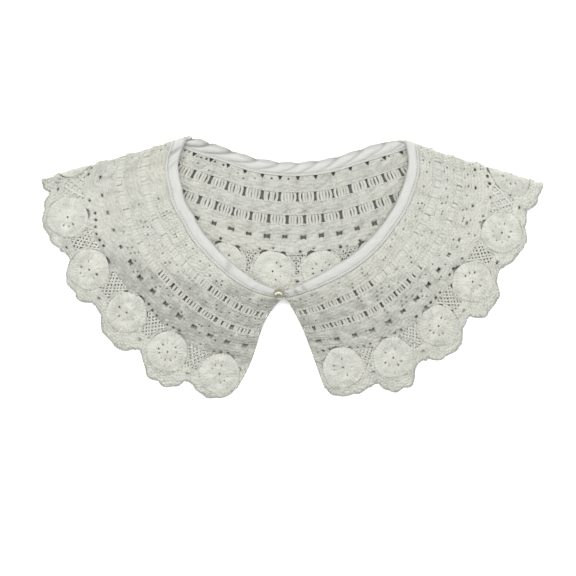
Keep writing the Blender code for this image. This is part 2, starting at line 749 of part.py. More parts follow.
def loop_piece(material):
    """A thread loop from the right front's end of the binding, round the bead's shank."""
    level = binding_top() + SEAM + LOOP_THREAD / 2
    reach = SHANK_RADIUS + LOOP_THREAD / 2 + LOOP_SLACK
    route = [(LOOP_ROOT_X, BEAD_Y + LOOP_SPREAD, level)]
    for k in range(LOOP_POINTS):
        turn = math.radians(LOOP_FROM + (LOOP_TO - LOOP_FROM) * k / (LOOP_POINTS - 1))
        route.append((BEAD_X + reach * math.cos(turn), BEAD_Y + reach * math.sin(turn), level))
    route.append((LOOP_ROOT_X, BEAD_Y - LOOP_SPREAD, level))
    curve = bpy.data.curves.new("button_loop", "CURVE")
    curve.dimensions = "3D"
    curve.bevel_depth = LOOP_THREAD / 2 * MM
    curve.bevel_resolution = 1
    curve.use_fill_caps = True
    spline = curve.splines.new("POLY")
    spline.points.add(len(route) - 1)
    for point, place_at in zip(spline.points, route):
        point.co = (*(c * MM for c in place_at), 1.0)
    curve.materials.append(material)
    loop = bpy.data.objects.new("button_loop", curve)
    COLLECTION.objects.link(loop)
    return loop


def new_material(name, colour, roughness):
    """A plain Principled material."""
    material = bpy.data.materials.new(name)
    material.use_nodes = True
    shader = material.node_tree.nodes["Principled BSDF"]
    shader.inputs["Base Color"].default_value = (*colour, 1.0)
    shader.inputs["Roughness"].default_value = roughness
    shader.inputs["Metallic"].default_value = 0.0
    return material


def main():
    """Builds every piece of the collar."""
    crochet = new_material("crochet_cotton", COTTON, 0.9)
    satin = new_material("binding_satin", SATIN, 0.45)
    yoke_piece(crochet)
    for number, along in enumerate(MEDALLIONS, 1):
        medallion_piece(f"medallion_{number:02d}", along, crochet)
    binding_piece(satin)
    button_piece(new_material("pearl", PEARL, 0.25))
    loop_piece(new_material("loop_thread", COTTON, 0.8))
    for piece in COLLECTION.objects:
        piece.location.x += CENTRING[0] * MM
        piece.location.y += CENTRING[1] * MM


for old in list(bpy.data.objects):
    bpy.data.objects.remove(old)
COLLECTION = bpy.data.collections.new("crochet_collar")
bpy.context.scene.collection.children.link(COLLECTION)
main()
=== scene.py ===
"""Looks of the crocheted collar: lace cloth, medallions, satin-bound neck, pearl button and loop.

The cloth is worked out in the same coordinates, in millimetres, as its solids. The lace hem
follows each lobe more closely than theirs, and the fronts' open rows are lower.
    along    distance round the collar, measured on the line through the medallions' centres
    down     distance from the neck edge towards the hem
    height   distance from the wrong side of the cloth towards its right side
"""

import logging
import math
from dataclasses import dataclass, field
from enum import Enum
from typing import ClassVar, Iterable, Optional, Union

import bmesh
import bpy
import numpy as np
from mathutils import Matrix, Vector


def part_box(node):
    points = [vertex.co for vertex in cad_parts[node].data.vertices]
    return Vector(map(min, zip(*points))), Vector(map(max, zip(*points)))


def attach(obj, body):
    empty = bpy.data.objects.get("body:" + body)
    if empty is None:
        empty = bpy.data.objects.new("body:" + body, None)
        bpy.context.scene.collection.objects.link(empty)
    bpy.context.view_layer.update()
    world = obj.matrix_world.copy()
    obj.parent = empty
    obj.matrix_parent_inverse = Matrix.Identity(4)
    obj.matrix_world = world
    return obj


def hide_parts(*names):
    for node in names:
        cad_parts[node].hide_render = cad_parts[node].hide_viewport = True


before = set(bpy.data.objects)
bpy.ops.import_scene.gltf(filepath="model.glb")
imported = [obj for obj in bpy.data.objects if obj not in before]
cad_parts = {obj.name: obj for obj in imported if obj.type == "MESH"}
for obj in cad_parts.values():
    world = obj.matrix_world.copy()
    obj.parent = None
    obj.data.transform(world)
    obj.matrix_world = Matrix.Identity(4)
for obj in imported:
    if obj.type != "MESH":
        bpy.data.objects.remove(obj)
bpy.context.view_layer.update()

LOG = logging.getLogger("collar")
Grid = np.ndarray
Colour = tuple[float, float, float]
MM = 0.001
PROBE = 0.25
SAMPLES = 2500


def ease(amount: Grid) -> Grid:
    """0 to 1 with a smooth start and end."""
    t = np.clip(amount, 0.0, 1.0)
    return t * t * (3.0 - 2.0 * t)


def curve_through(knots: Grid, values: Grid, at: Grid) -> Grid:
    """A smooth curve through values at knots.

    Args:
        knots: Rising places that the values belong to.
        values: The values there.
        at: Places to read the curve at.
    Returns:
        The curve's value at each place.
    """
    slopes = np.gradient(values, knots)
    wanted = np.asarray(at, float)
    at = np.clip(wanted, knots[0], knots[-1])
    past = (wanted - at) * np.where(wanted < at, slopes[0], slopes[-1])
    i = np.clip(np.searchsorted(knots, at) - 1, 0, len(knots) - 2)
    step = knots[i + 1] - knots[i]
    t = (at - knots[i]) / step
    start = values[i] * (1 + 2 * t) * (1 - t) ** 2 + values[i + 1] * t * t * (3 - 2 * t)
    return past + start + step * (slopes[i] * t * (1 - t) ** 2 - slopes[i + 1] * t * t * (1 - t))


def hump(offset: Grid, width: Union[Grid, float], power: int = 2) -> Grid:
    """1 where the offset is 0, falling smoothly to 0 over about a width."""
    return np.exp(-((offset / width) ** power))


def shaded_step(along: Grid, down: Grid) -> Grid:
    """Shadow where the right front's bands step down near the opening, from 0 to 1."""
    return hump(down - 42.5, 5.5) * hump(CLOTH.length - along, 30.0)


def noise_of(count: Grid, seed: float) -> Grid:
    """A steady scrambled number from 0 to 1 for each whole number."""
    return np.modf(np.abs(np.sin(count * 12.9898 + seed * 78.233) * 43758.5453))[0]


def mottle(x: Grid, y: Grid, size: float, seed: float) -> Grid:
    """Soft blotches from 0 to 1, about a size across.

    Args:
        x, y: Places.
        size: Distance between neighbouring blotches, in the units of the places.
        seed: Which pattern.
    Returns:
        The blotches' strength at each place.
    """
    column, row = np.floor(x / size), np.floor(y / size)
    across, up = ease(x / size - column), ease(y / size - row)
    corners = [noise_of(column + i + 57.0 * (row + j), seed) for j in (0, 1) for i in (0, 1)]
    low = corners[0] + (corners[1] - corners[0]) * across
    high = corners[2] + (corners[3] - corners[2]) * across
    return low + (high - low) * up


class Side(Enum):
    """The parts of the cloth: two fronts and the back that they are folded over."""

    FRONT_LEFT = "front_left"
    BACK = "back"
    FRONT_RIGHT = "front_right"


class Cut(Enum):
    """Shapes of the holes in the cloth."""

    WEDGE = "wedge"
    BOW = "bow"
    ROUND = "round"


# Sections of each panel: neck x and y, heading in degrees, reach of the third open row and of
# the medallions' centres.
SECTIONS = {
    Side.FRONT_LEFT: (
        (-2.6, -20.4, 241.2, 54.0, 81.0),
        (-17.8, -17.0, 240.7, 56.0, 84.0),
        (-45.5, 0.3, 233.1, 63.0, 92.4),
        (-71.6, 25.9, 225.0, 65.0, 92.8),
        (-82.0, 43.6, 208.6, 66.5, 99.0),
        (-91.3, 64.1, 193.0, 66.0, 99.0),
        (-94.5, 87.0, 194.5, 69.0, 98.0),
        (-88.5, 109.2, 196.0, 72.0, 97.0),
    ),
    Side.BACK: (
        (-88.5, 109.2, 196.0, 72.0, 97.0),
        (-84.4, 107.9, 214.0, 66.0, 94.0),
        (-77.5, 105.6, 234.0, 63.0, 91.0),
        (-54.8, 98.4, 249.5, 62.0, 91.0),
        (-28.6, 89.8, 260.5, 62.0, 91.0),
        (0.0, 86.8, 270.0, 62.0, 91.0),
        (29.3, 89.3, 279.5, 62.0, 91.0),
        (58.6, 98.1, 289.5, 62.0, 91.0),
        (78.5, 103.8, 303.0, 62.0, 91.0),
        (88.0, 105.3, 322.0, 61.5, 92.0),
        (95.5, 106.4, 342.5, 60.5, 92.7),
    ),
    Side.FRONT_RIGHT: (
        (95.5, 106.4, 342.5, 60.5, 92.7),
        (97.6, 86.0, 340.0, 61.0, 92.0),
        (91.4, 62.4, 336.6, 61.7, 91.5),
        (77.1, 37.2, 324.7, 61.3, 90.0),
        (59.5, 17.5, 311.8, 64.0, 93.0),
        (37.6, 1.9, 300.0, 63.5, 91.5),
        (4.0, -16.4, 298.7, 52.0, 78.0),
        (-8.4, -20.6, 295.0, 47.0, 73.0),
    ),
}
# Medallions of each panel: place along it (on the back, from its middle) and reach of the hem.
DISCS = {
    Side.FRONT_LEFT: ((19.0, 21.8), (66.6, 26.0), (114.2, 26.0), (161.8, 21.5), (209.4, 21.5)),
    Side.BACK: (
        (-200.0, 27.0),
        (-152.5, 22.0),
        (-105.0, 22.0),
        (-57.5, 20.5),
        (-16.0, 19.5),
        (25.5, 19.5),
        (71.8, 20.5),
        (118.1, 22.0),
        (164.4, 22.0),
    ),
    Side.FRONT_RIGHT: (
        (1.2, 27.5),
        (51.0, 22.0),
        (98.8, 26.0),
        (145.6, 25.0),
        (192.0, 27.5),
        (235.2, 24.5),
    ),
}
# Distance from the neck, and how far in the left and right front edges lie there.
FRONT_EDGE = (
    (0.0, 4.8, 4.1),
    (8.3, 0.8, 0.0),
    (10.4, 3.4, 1.4),
    (14.4, 5.9, 4.2),
    (24.0, 7.5, 4.9),
    (38.0, 7.5, 5.4),
    (51.0, 5.4, 5.2),
    (71.0, 1.4, 3.4),
    (86.0, 0.0, 1.8),
    (103.0, 0.0, 0.0),
)
# Distance from the neck, and the cloth's thickness there.
RIBS = (
    (0.0, 1.1),
    (10.0, 1.1),
    (14.0, 1.9),
    (19.0, 2.4),
    (24.0, 1.7),
    (32.0, 1.7),
    (37.6, 2.4),
    (43.2, 1.7),
    (50.8, 1.7),
    (55.2, 2.3),
    (59.6, 1.8),
    (63.9, 1.8),
    (69.0, 2.0),
    (76.0, 1.7),
    (130.0, 1.6),
)
# How much further the lace hem reaches than the solid's, on each front lobe's side towards the
# shoulder and on its side towards the opening.
LOBE_SHIFTS = {
    0: (-6.0, 2.5),
    1: (-8.0, 2.0),
    2: (-8.0, 3.0),
    3: (-10.5, 1.5),
    4: (-2.5, -2.0),
    14: (0.0, -2.5),
    15: (-4.5, -1.5),
    16: (-10.0, 2.0),
    17: (-7.0, -0.5),
    18: (-11.5, 3.0),
    19: (-4.0, 4.0),
}
# How much shallower the lace's notch is, by the number of the lobe that starts there.
NOTCH_FILLS = {1: 4.5, 2: 2.5, 19: 6.0}


class PanelPlan:
    """How one front, or the back, lies in plan."""

    def __init__(self, side: Side, start: float) -> None:
        """Reads a panel's sections and measures it, from a start along the collar.

        Args:
            side: Which panel.
            start: Where it starts along the collar.
        """
        self.table = np.array(SECTIONS[side])
        heading = np.radians(self.table[:, 2])
        outward = np.stack([np.cos(heading), np.sin(heading)], 1)
        centres = self.table[:, :2] + self.table[:, 4:5] * outward
        steps = np.linalg.norm(np.diff(centres, axis=0), axis=1)
        self.knots = start + np.concatenate([[0.0], np.cumsum(steps)])
        self.end = float(self.knots[-1])

    def at(self, along: Grid, down: Grid) -> Grid:
        """Plan position of cloth coordinates, with the shoulders creased flat.

        Args:
            along, down: Cloth coordinates.
        Returns:
            Places in plan.
        """
        read = [curve_through(self.knots, self.table[:, k], along) for k in range(5)]
        neck_x, neck_y, heading, third_row, reach = read
        share = np.clip((down - ClothMap.THIRD_ROW) / (ClothMap.CENTRES - ClothMap.THIRD_ROW), 0, 1)
        outward = np.minimum(down, ClothMap.THIRD_ROW) / ClothMap.THIRD_ROW * third_row
        outward = outward + share * (reach - third_row) + np.maximum(down - ClothMap.CENTRES, 0.0)
        heading = np.radians(heading)
        x, y = neck_x + outward * np.cos(heading), neck_y + outward * np.sin(heading)
        return np.stack([x, y], -1)


class ClothMap:
    """Lays cloth coordinates in the row frame, in the way that the solids are laid."""

    THIRD_ROW = 62.0
    CENTRES = 91.0
    BACK_DEPTH = 2.3
    FOLD_RADIUS = 2.0
    INSIDE = (0.9, 1.5)
    RESTING = (3.1, 4.3)
    NECK_ZONE = (12.0, 25.0)
    FOLD_EASE = 18.0
    BACK_HALF_WIDTH = 210.0
    BACK_LENGTH = 107.5
    BACK_CENTRE_Y = 85.0
    DROP = (1.04, 1.42)
    ARCH = (30.0, 76.0, 12.0, 2.0)
    NOTCH = 14.0
    CORNER = 11.0
    CENTRING_X = -0.5

    def __init__(self) -> None:
        """Measures the panels and finds the shoulder creases."""
        self.left = PanelPlan(Side.FRONT_LEFT, 0.0)
        self.middle = PanelPlan(Side.BACK, self.left.end)
        self.right = PanelPlan(Side.FRONT_RIGHT, self.middle.end)
        self.folds = (self.left.end, self.middle.end)
        self.length = self.right.end
        back = SECTIONS[Side.BACK]
        self.creases = np.array([back[0][:2], back[-1][:2]])
        headings = np.radians([back[0][2], back[-1][2]])
        turned = np.array([1.0, -1.0])
        self.past_crease = np.stack([np.sin(headings) * turned, -np.cos(headings) * turned], -1)
        starts = {
            Side.FRONT_LEFT: 0.0,
            Side.BACK: sum(self.folds) / 2,
            Side.FRONT_RIGHT: self.folds[1],
        }
        discs = [(starts[s] + a, lobe) for s in Side for a, lobe in DISCS[s]]
        self.centres, self.lobes = np.array(discs).T
        between = (self.centres[1:] + self.centres[:-1]) / 2
        self.lobe_edges = np.concatenate(
            [[-self.centres[0]], between, [2 * self.length - self.centres[-1]]]
        )

    def plan(self, along: Grid, down: Grid) -> Grid:
        """Plan position of cloth coordinates on whichever panel they fall.

        Args:
            along, down: Cloth coordinates.
        Returns:
            Places in plan.
        """
        along, down = np.broadcast_arrays(np.asarray(along, float), np.asarray(down, float))
        on_left = (along <= self.folds[0])[..., None]
        on_right = (along > self.folds[1])[..., None]
        left, right = self.left.at(along, down), self.right.at(along, down)
        return np.where(on_left, left, np.where(on_right, right, self.middle.at(along, down)))

    def crease(self, along: Grid, flat: Grid) -> tuple[Grid, Grid]:
        """Distance in plan to the nearer shoulder crease, and the direction out past it.

        Args:
            along: Places along the collar.
            flat: The same places in plan.
        Returns:
            The distance and the direction.
        """
        nearer = (np.asarray(along) > sum(self.folds) / 2).astype(int)
        outward = self.past_crease[nearer]
        return -((flat - self.creases[nearer]) * outward).sum(-1), outward

    def on_back(self, along: Grid) -> Grid:
        """True where the cloth is the back panel."""
        return (along > self.folds[0]) & (along <= self.folds[1])

    def back_share(self, along: Grid, flat: Grid) -> Grid:
        """0 on the fronts, 1 on the back, and in between round the bend of a shoulder.

        Args:
            along: Places along the collar.
            flat: The same places in plan.
        Returns:
            The share at each place.
        """
        distance, _ = self.crease(along, flat)
        turned = np.clip(distance / (math.pi / 2 * self.FOLD_RADIUS), 0.0, 1.0)
        return ease(0.5 + 0.5 * np.where(self.on_back(along), turned, -turned))

    def doubled(self, along: Grid, down: Grid) -> Grid:
        """1 where a front lies on the back, 0 where the cloth is single or is the back itself.

        Args:
            along, down: Cloth coordinates.
        Returns:
            The share at each place.
        """
        flat = self.plan(along, down)
        across = flat[..., 0] / self.BACK_HALF_WIDTH
        ellipse = np.hypot(across, (flat[..., 1] - self.BACK_CENTRE_Y) / self.BACK_LENGTH)
        return np.where(self.on_back(along), 0.0, 1.0 - ease((ellipse - 0.90) / 0.14))

    def under_front(self, along: Grid, down: Grid, flat: Grid) -> tuple[Grid, Grid]:
        """Height of a front's wrong side above the floor, and the bend's inner radius.

        Args:
            along, down: Cloth coordinates.
            flat: The same places in plan.
        Returns:
            The height and the radius.
        """
        near_neck = 1.0 - ease((down - self.NECK_ZONE[0]) / (self.NECK_ZONE[1] - self.NECK_ZONE[0]))
        inside = self.INSIDE[0] + near_neck * (self.INSIDE[1] - self.INSIDE[0])
        resting = self.RESTING[0] + near_neck * (self.RESTING[1] - self.RESTING[0])
        distance, _ = self.crease(along, flat)
        past_bend = np.maximum(distance - math.pi / 2 * self.FOLD_RADIUS, 0.0)
        near_fold = np.exp(-past_bend / self.FOLD_EASE)
        lifted = resting + (self.BACK_DEPTH + 2.0 * inside - resting) * near_fold
        across = flat[..., 0] / self.BACK_HALF_WIDTH
        ellipse = np.hypot(across, (flat[..., 1] - self.BACK_CENTRE_Y) / self.BACK_LENGTH)
        off_back = ease((ellipse - self.DROP[0]) / (self.DROP[1] - self.DROP[0])) * (1 - near_fold)
        start, end, blend, rise = self.ARCH
        arch = ease((down - start) / blend) * ease((end - down) / blend)
        return lifted * (1.0 - off_back) + rise * arch * off_back, inside

    def place(self, along: Grid, down: Grid, height: Grid) -> Grid:
        """Cloth coordinates laid in the row frame, round the bend at each shoulder.

        Args:
            along, down, height: Cloth coordinates in millimetres.
        Returns:
            Points in metres.
        """
        parts = [np.asarray(part, float) for part in (along, down, height)]
        along, down, height = np.broadcast_arrays(*parts)
        flat = self.plan(along, down)
        distance, outward = self.crease(along, flat)
        under, inside = self.under_front(along, down, flat)
        quarter = math.pi / 2 * self.FOLD_RADIUS
        turn = np.clip(distance / self.FOLD_RADIUS, 0.0, math.pi / 2)
        radius = inside + height
        bent = distance < quarter
        moved = np.where(bent, distance - quarter + radius * np.cos(turn), 0.0)
        back = self.on_back(along)
        rise = np.where(back, -1.0, 1.0) * radius * np.sin(turn)
        level = np.where(back, self.BACK_DEPTH - height, under + height)
        z = np.where(bent, self.BACK_DEPTH + inside + rise, level)
        z = np.maximum(z, 0.1)
        spot = np.concatenate([flat + moved[..., None] * outward, z[..., None]], -1)
        spot[..., 0] += self.CENTRING_X
        return spot * MM

    def stretch(self, along: Grid, down: Grid) -> Grid:
        """Plan length of one millimetre of cloth coordinate along a row.

        Args:
            along, down: Cloth coordinates.
        Returns:
            The length at each place.
        """
        along = np.asarray(along, float)
        low = along - PROBE
        for fold in self.folds:
            low = np.where(np.abs(along - fold) < PROBE, along, low)
        high = along + PROBE
        return np.linalg.norm(self.plan(high, down) - self.plan(low, down), axis=-1) / (high - low)

    def front_edges(self, down: Grid) -> tuple[Grid, Grid]:
        """Where the two front edges lie at a distance from the neck."""
        downs, left, right = np.array(FRONT_EDGE).T
        return np.interp(down, downs, left), self.length - np.interp(down, downs, right)

    def run(self, down: float) -> tuple[Grid, Grid]:
        """Places along a whole row, and their distance in plan from its left end.

        Args:
            down: The row's distance from the neck.
        Returns:
            The places and the distances.
        """
        fine = np.linspace(*self.front_edges(down), SAMPLES)
        steps = np.linalg.norm(np.diff(self.plan(fine, down), axis=0), axis=1)
        return fine, np.concatenate([[0.0], np.cumsum(steps)])

    def evenly(self, down: float, pitch: float) -> Grid:
        """Places along a row at an even spacing in plan, half a step in from each end.

        Args:
            down: The row's distance from the neck.
            pitch: The spacing.
        Returns:
            The places.
        """
        fine, run = self.run(down)
        count = max(1, round(run[-1] / pitch))
        return np.interp((np.arange(count) + 0.5) / count * run[-1], run, fine)

    def hem(self, along: Grid) -> Grid:
        """How far from the neck the scalloped hem lies.

        Args:
            along: Places along the collar.
        Returns:
            The solid's hem there.
        """
        i = np.clip(np.searchsorted(self.lobe_edges, along) - 1, 0, len(self.centres) - 1)
        offset = along - self.centres[i]
        edges = self.lobe_edges
        half = np.where(offset < 0, self.centres[i] - edges[i], edges[i + 1] - self.centres[i])
        t = np.clip(np.abs(offset) / half, 0.0, 1.0)
        reach = self.NOTCH + (self.lobes[i] - self.NOTCH) * (1.0 - t**3) ** 0.8
        wave = 0.8 * np.cos(3 * math.pi * offset / half) * (1.0 - t**4)
        from_end = np.minimum(np.minimum(along, self.length - along), self.CORNER)
        cut = self.CORNER - np.maximum(from_end, 0.0)
        rounding = self.CORNER - np.sqrt(np.maximum(self.CORNER**2 - cut**2, 0.0))
        return self.CENTRES + reach + wave - rounding

    def thickness(self, down: Grid) -> Grid:
        """How thick the ribbed cloth is."""
        downs, thick = np.array(RIBS).T
        return np.interp(down, downs, thick)

    def heights(self, along: Grid, down: Grid, front: Grid, back: Grid) -> tuple[Grid, Grid]:
        """Heights of the wrong and right side, from the thickness on a front and on the back.

        Args:
            along, down: Cloth coordinates.
            front, back: The thickness on a front and on the back.
        Returns:
            The two heights.
        """
        share = self.back_share(along, self.plan(along, down))
        bound = 1.0 - ease((down - 11.0) / 5.0)
        low = share * (self.BACK_DEPTH - back) * (1.0 - bound)
        high = self.BACK_DEPTH + bound * (front - self.BACK_DEPTH)
        return low, (1.0 - share) * front + share * high

    def nearest(self, along: Grid, down: Grid) -> tuple[Grid, Grid]:
        """Distance in plan to the nearest medallion's centre, and the turn round it.

        Args:
            along, down: Cloth coordinates.
        Returns:
            The distance and the turn.
        """
        along, down = np.broadcast_arrays(np.asarray(along, float), np.asarray(down, float))
        i = np.abs(along[..., None] - self.centres).argmin(-1)
        centre = self.centres[i]
        gap = self.plan(along, down) - self.plan(centre, self.CENTRES)
        outward = self.plan(centre, self.CENTRES + PROBE) - self.plan(centre, self.CENTRES)
        outward /= np.linalg.norm(outward, axis=-1, keepdims=True)
        across = gap[..., 1] * outward[..., 0] - gap[..., 0] * outward[..., 1]
        deep = (gap * outward).sum(-1)
        folded = np.abs(centre[..., None] - np.array(self.folds)).min(-1) < self.centres[0]
        run = (along - centre) * self.stretch(along, down)
        across = np.where(folded, run, across)
        deep = np.where(folded, down - self.CENTRES, deep)
        return np.hypot(across, deep), np.arctan2(across, -deep)

    def round_point(self, centre: float, radius: Grid, angle: Grid) -> tuple[Grid, Grid]:
        """Cloth coordinates of points round a medallion; angle 0 points at the neck.

        Args:
            centre: The medallion's place along the collar.
            radius, angle: The points round it.
        Returns:
            Their places along and down.
        """
        radius, angle = np.broadcast_arrays(radius, angle)
        across = radius * np.sin(angle)
        down = self.CENTRES - radius * np.cos(angle)
        along = centre + across
        if min(abs(centre - fold) for fold in self.folds) < self.centres[0]:
            for _ in range(3):
                middle = (along + centre) / 2
                along = centre + across / self.stretch(middle, down)
            return along, down
        origin = self.plan(centre, self.CENTRES)
        outward = self.plan(centre, self.CENTRES + PROBE) - origin
        outward = outward / np.linalg.norm(outward)
        sideways = np.array([-outward[1], outward[0]])
        target = origin + outward * (down - self.CENTRES)[..., None] + sideways * across[..., None]
        for _ in range(6):
            here = self.plan(along, down)
            by_along = (self.plan(along + PROBE, down) - here) / PROBE
            by_down = (self.plan(along, down + PROBE) - here) / PROBE
            miss = target - here
            whole = by_along[..., 0] * by_down[..., 1] - by_along[..., 1] * by_down[..., 0]
            share = miss[..., 0] * by_down[..., 1] - miss[..., 1] * by_down[..., 0]
            along = along + share / whole
            share = by_along[..., 0] * miss[..., 1] - by_along[..., 1] * miss[..., 0]
            down = down + share / whole
        return along, down


CLOTH = ClothMap()


class Value:
    """A shader value. Arithmetic on it adds Math nodes."""

    def __init__(self, finish: "Finish", link: bpy.types.NodeSocket) -> None:
        """Keeps the finish that the value belongs to, and the socket that gives it."""
        self.finish = finish
        self.link = link

    def _math(self, operation: str, *parts: Union["Value", float]) -> "Value":
        """A Math node over the parts."""
        inputs = dict(enumerate(parts))
        return self.finish.node("ShaderNodeMath", {"operation": operation}, inputs)

    def __add__(self, other: Union["Value", float]) -> "Value":
        """self + other."""
        return self._math("ADD", self, other)

    def __sub__(self, other: Union["Value", float]) -> "Value":
        """self - other."""
        return self._math("SUBTRACT", self, other)

    def __rsub__(self, other: float) -> "Value":
        """other - self."""
        return self._math("SUBTRACT", other, self)

    def __mul__(self, other: Union["Value", float]) -> "Value":
        """self * other."""
        return self._math("MULTIPLY", self, other)

    __radd__ = __add__
    __rmul__ = __mul__


Part = Union[Value, float, tuple]


class Finish:
    """A Principled material whose nodes are added from Python expressions."""

    def __init__(self, name: str, **constants: Part) -> None:
        """Starts the material, with the shader sockets that stay the same all over.

        Args:
            name: The finish's name.
            constants: Values of those sockets.
        """
        self.material = bpy.data.materials.new(name)
        self.material.use_nodes = True
        self.tree = self.material.node_tree
        self.shader = self.tree.nodes["Principled BSDF"]
        for socket, value in constants.items():
            self.shader.inputs[socket.replace("_", " ")].default_value = value

    def node(
        self,
        kind: str,
        settings: Optional[dict] = None,
        inputs: Optional[dict] = None,
        output: Union[int, str] = 0,
    ) -> Value:
        """Adds a node.

        Args:
            kind: The node's type.
            settings: Its properties, set first.
            inputs: A value or a link for each socket, by name or number.
            output: The socket to give back.
        Returns:
            That output as a value.
        """
        made = self.tree.nodes.new(kind)
        for name, value in (settings or {}).items():
            setattr(made, name, value)
        for name, value in (inputs or {}).items():
            self.feed(made.inputs[name], value)
        return Value(self, made.outputs[output])

    def feed(self, socket: bpy.types.NodeSocket, value: Part) -> None:
        """Links a value to a socket, or sets it there.

        Args:
            socket: The socket.
            value: What it gets.
        """
        if isinstance(value, Value):
            self.tree.links.new(value.link, socket)
        else:
            socket.default_value = value

    def mix(self, factor: Part, first: Part, second: Part) -> Value:
        """A colour between two."""
        inputs = {0: factor, 6: first, 7: second}
        return self.node("ShaderNodeMix", {"data_type": "RGBA"}, inputs, 2)

    def attribute(self, name: str, output: str) -> Value:
        """A mesh attribute."""
        return self.node("ShaderNodeAttribute", {"attribute_name": name}, {}, output)

    def noise(self, where: Value, scale: float, detail: float = 2.0) -> Value:
        """Soft noise from 0 to 1."""
        inputs = {"Vector": where, "Scale": scale, "Detail": detail}
        return self.node("ShaderNodeTexNoise", {}, inputs, "Fac")

    def object_place(self) -> Value:
        """The surface's place in the row frame."""
        return self.node("ShaderNodeTexCoord", {}, {}, "Object")

    def scaled(self, where: Value, by: Colour) -> Value:
        """A place with each direction scaled."""
        inputs = {0: where, 1: by}
        return self.node("ShaderNodeVectorMath", {"operation": "MULTIPLY"}, inputs)

    def surface(self, colour: Value, roughness: Value, relief: Value, depth: float) -> None:
        """Feeds the shader: colour, roughness and a bump of a depth in metres.

        Args:
            colour, roughness: Their values.
            relief: Height of the bump, from 0 to 1.
            depth: What 1 stands for, in metres.
        """
        inputs = {"Height": relief, "Distance": depth, "Strength": 1.0}
        bump = self.node("ShaderNodeBump", {}, inputs)
        self.feed(self.shader.inputs["Base Color"], colour)
        self.feed(self.shader.inputs["Roughness"], roughness)
        self.feed(self.shader.inputs["Normal"], bump)


def opaque(colour: Colour) -> tuple:
    """A colour with full alpha."""
    return (*colour, 1.0)


@dataclass(frozen=True)
class Cotton:
    """Soft-spun crochet cotton, off-white, with plied yarn and a little fuzz."""

    name: str = "crochet_cotton"
    clean: Colour = (0.606, 0.613, 0.564)
    warm: Colour = (0.624, 0.614, 0.539)
    # The dark tone that painted shade, with some random mottled tone, mixes the cloth towards.
    hollow: Colour = (0.27, 0.275, 0.245)
    rough: float = 0.85
    yarn_depth: float = 0.00035

    def dress(self) -> bpy.types.Material:
        """Makes the material.

        Returns:
            The material.
        """
        finish = Finish(self.name, Sheen_Weight=0.25, Sheen_Roughness=0.5)
        laid = finish.attribute("laid", "Vector")
        hollow = finish.attribute("hollow", "Fac")
        place = finish.object_place()
        soiled = finish.noise(place, 22.0, 3.0)
        fleck = finish.noise(place, 900.0, 2.0)
        tone = finish.mix(soiled, opaque(self.clean), opaque(self.warm))
        # Painted shade from the mesh attribute, with random flecks, darkens the colour towards the
        # dark tone.
        shaded = hollow * 0.8 + (fleck - 0.5) * 0.3
        colour = finish.mix(shaded, tone, opaque(self.hollow))
        ply = finish.node(
            "ShaderNodeTexWave",
            {"wave_type": "BANDS", "bands_direction": "DIAGONAL"},
            {"Vector": laid, "Scale": 0.55, "Distortion": 2.2, "Detail": 2.0, "Detail Scale": 1.5},
            "Fac",
        )
        loops = finish.node(
            "ShaderNodeTexVoronoi",
            {"feature": "SMOOTH_F1"},
            {"Vector": finish.scaled(laid, (0.8, 0.55, 0.8)), "Scale": 1.0, "Smoothness": 0.6},
            "Distance",
        )
        fuzz = finish.noise(laid, 2.4, 3.0)
        relief = ply * 0.35 + (1.0 - loops) * 0.9 + fuzz * 0.6
        roughness = self.rough + (fleck - 0.5) * 0.12
        finish.surface(colour, roughness, relief, self.yarn_depth)
        return finish.material


@dataclass(frozen=True)
class Satin:
    """White satin tape: a close weave with a soft sheen and pressed wrinkles."""

    name: str = "binding_satin"
    # Lit and shaded tones of one satin: the wrinkle noise that makes the bump paints its low places
    # in the darker tone, painted shade in the creases.
    bright: Colour = (0.575, 0.575, 0.55)
    crease_shade: Colour = (0.49, 0.49, 0.465)
    hollow: Colour = (0.17, 0.175, 0.16)
    rough: float = 0.42
    wrinkle_depth: float = 0.0005

    def dress(self) -> bpy.types.Material:
        """Makes the material.

        Returns:
            The material.
        """
        finish = Finish(self.name, Sheen_Weight=0.15, Sheen_Roughness=0.3, Anisotropic=0.3)
        laid = finish.attribute("laid", "Vector")
        hollow = finish.attribute("hollow", "Fac")
        creased = finish.noise(finish.scaled(laid, (0.12, 0.45, 0.3)), 1.0, 3.0)
        weave = finish.node(
            "ShaderNodeTexWave",
            {"wave_type": "BANDS", "bands_direction": "DIAGONAL"},
            {"Vector": laid, "Scale": 2.2, "Distortion": 0.6, "Detail": 1.0},
            "Fac",
        )
        # Painted shade: the creases' low places take the darker tone, and the painted shade
        # attribute darkens it further.
        tone = finish.mix(creased, opaque(self.crease_shade), opaque(self.bright))
        colour = finish.mix(hollow, tone, opaque(self.hollow))
        roughness = self.rough + (creased - 0.5) * 0.25
        finish.surface(colour, roughness, creased + weave * 0.05, self.wrinkle_depth)
        return finish.material


@dataclass(frozen=True)
class Pearl:
    """Cream imitation pearl with a clear coat."""

    name: str = "pearl"
    cream: Colour = (0.40, 0.385, 0.29)
    cool: Colour = (0.34, 0.34, 0.27)
    rough: float = 0.2
    grain_depth: float = 0.00001

    def dress(self) -> bpy.types.Material:
        """Makes the material.

        Returns:
            The material.
        """
        finish = Finish(self.name, Coat_Roughness=0.05, Coat_Weight=1.0, Metallic=0.6)
        place = finish.object_place()
        cloud = finish.noise(place, 260.0, 2.0)
        grain = finish.noise(place, 2600.0, 2.0)
        colour = finish.mix(cloud, opaque(self.cream), opaque(self.cool))
        finish.surface(colour, self.rough + cloud * 0.1, grain, self.grain_depth)
        return finish.material


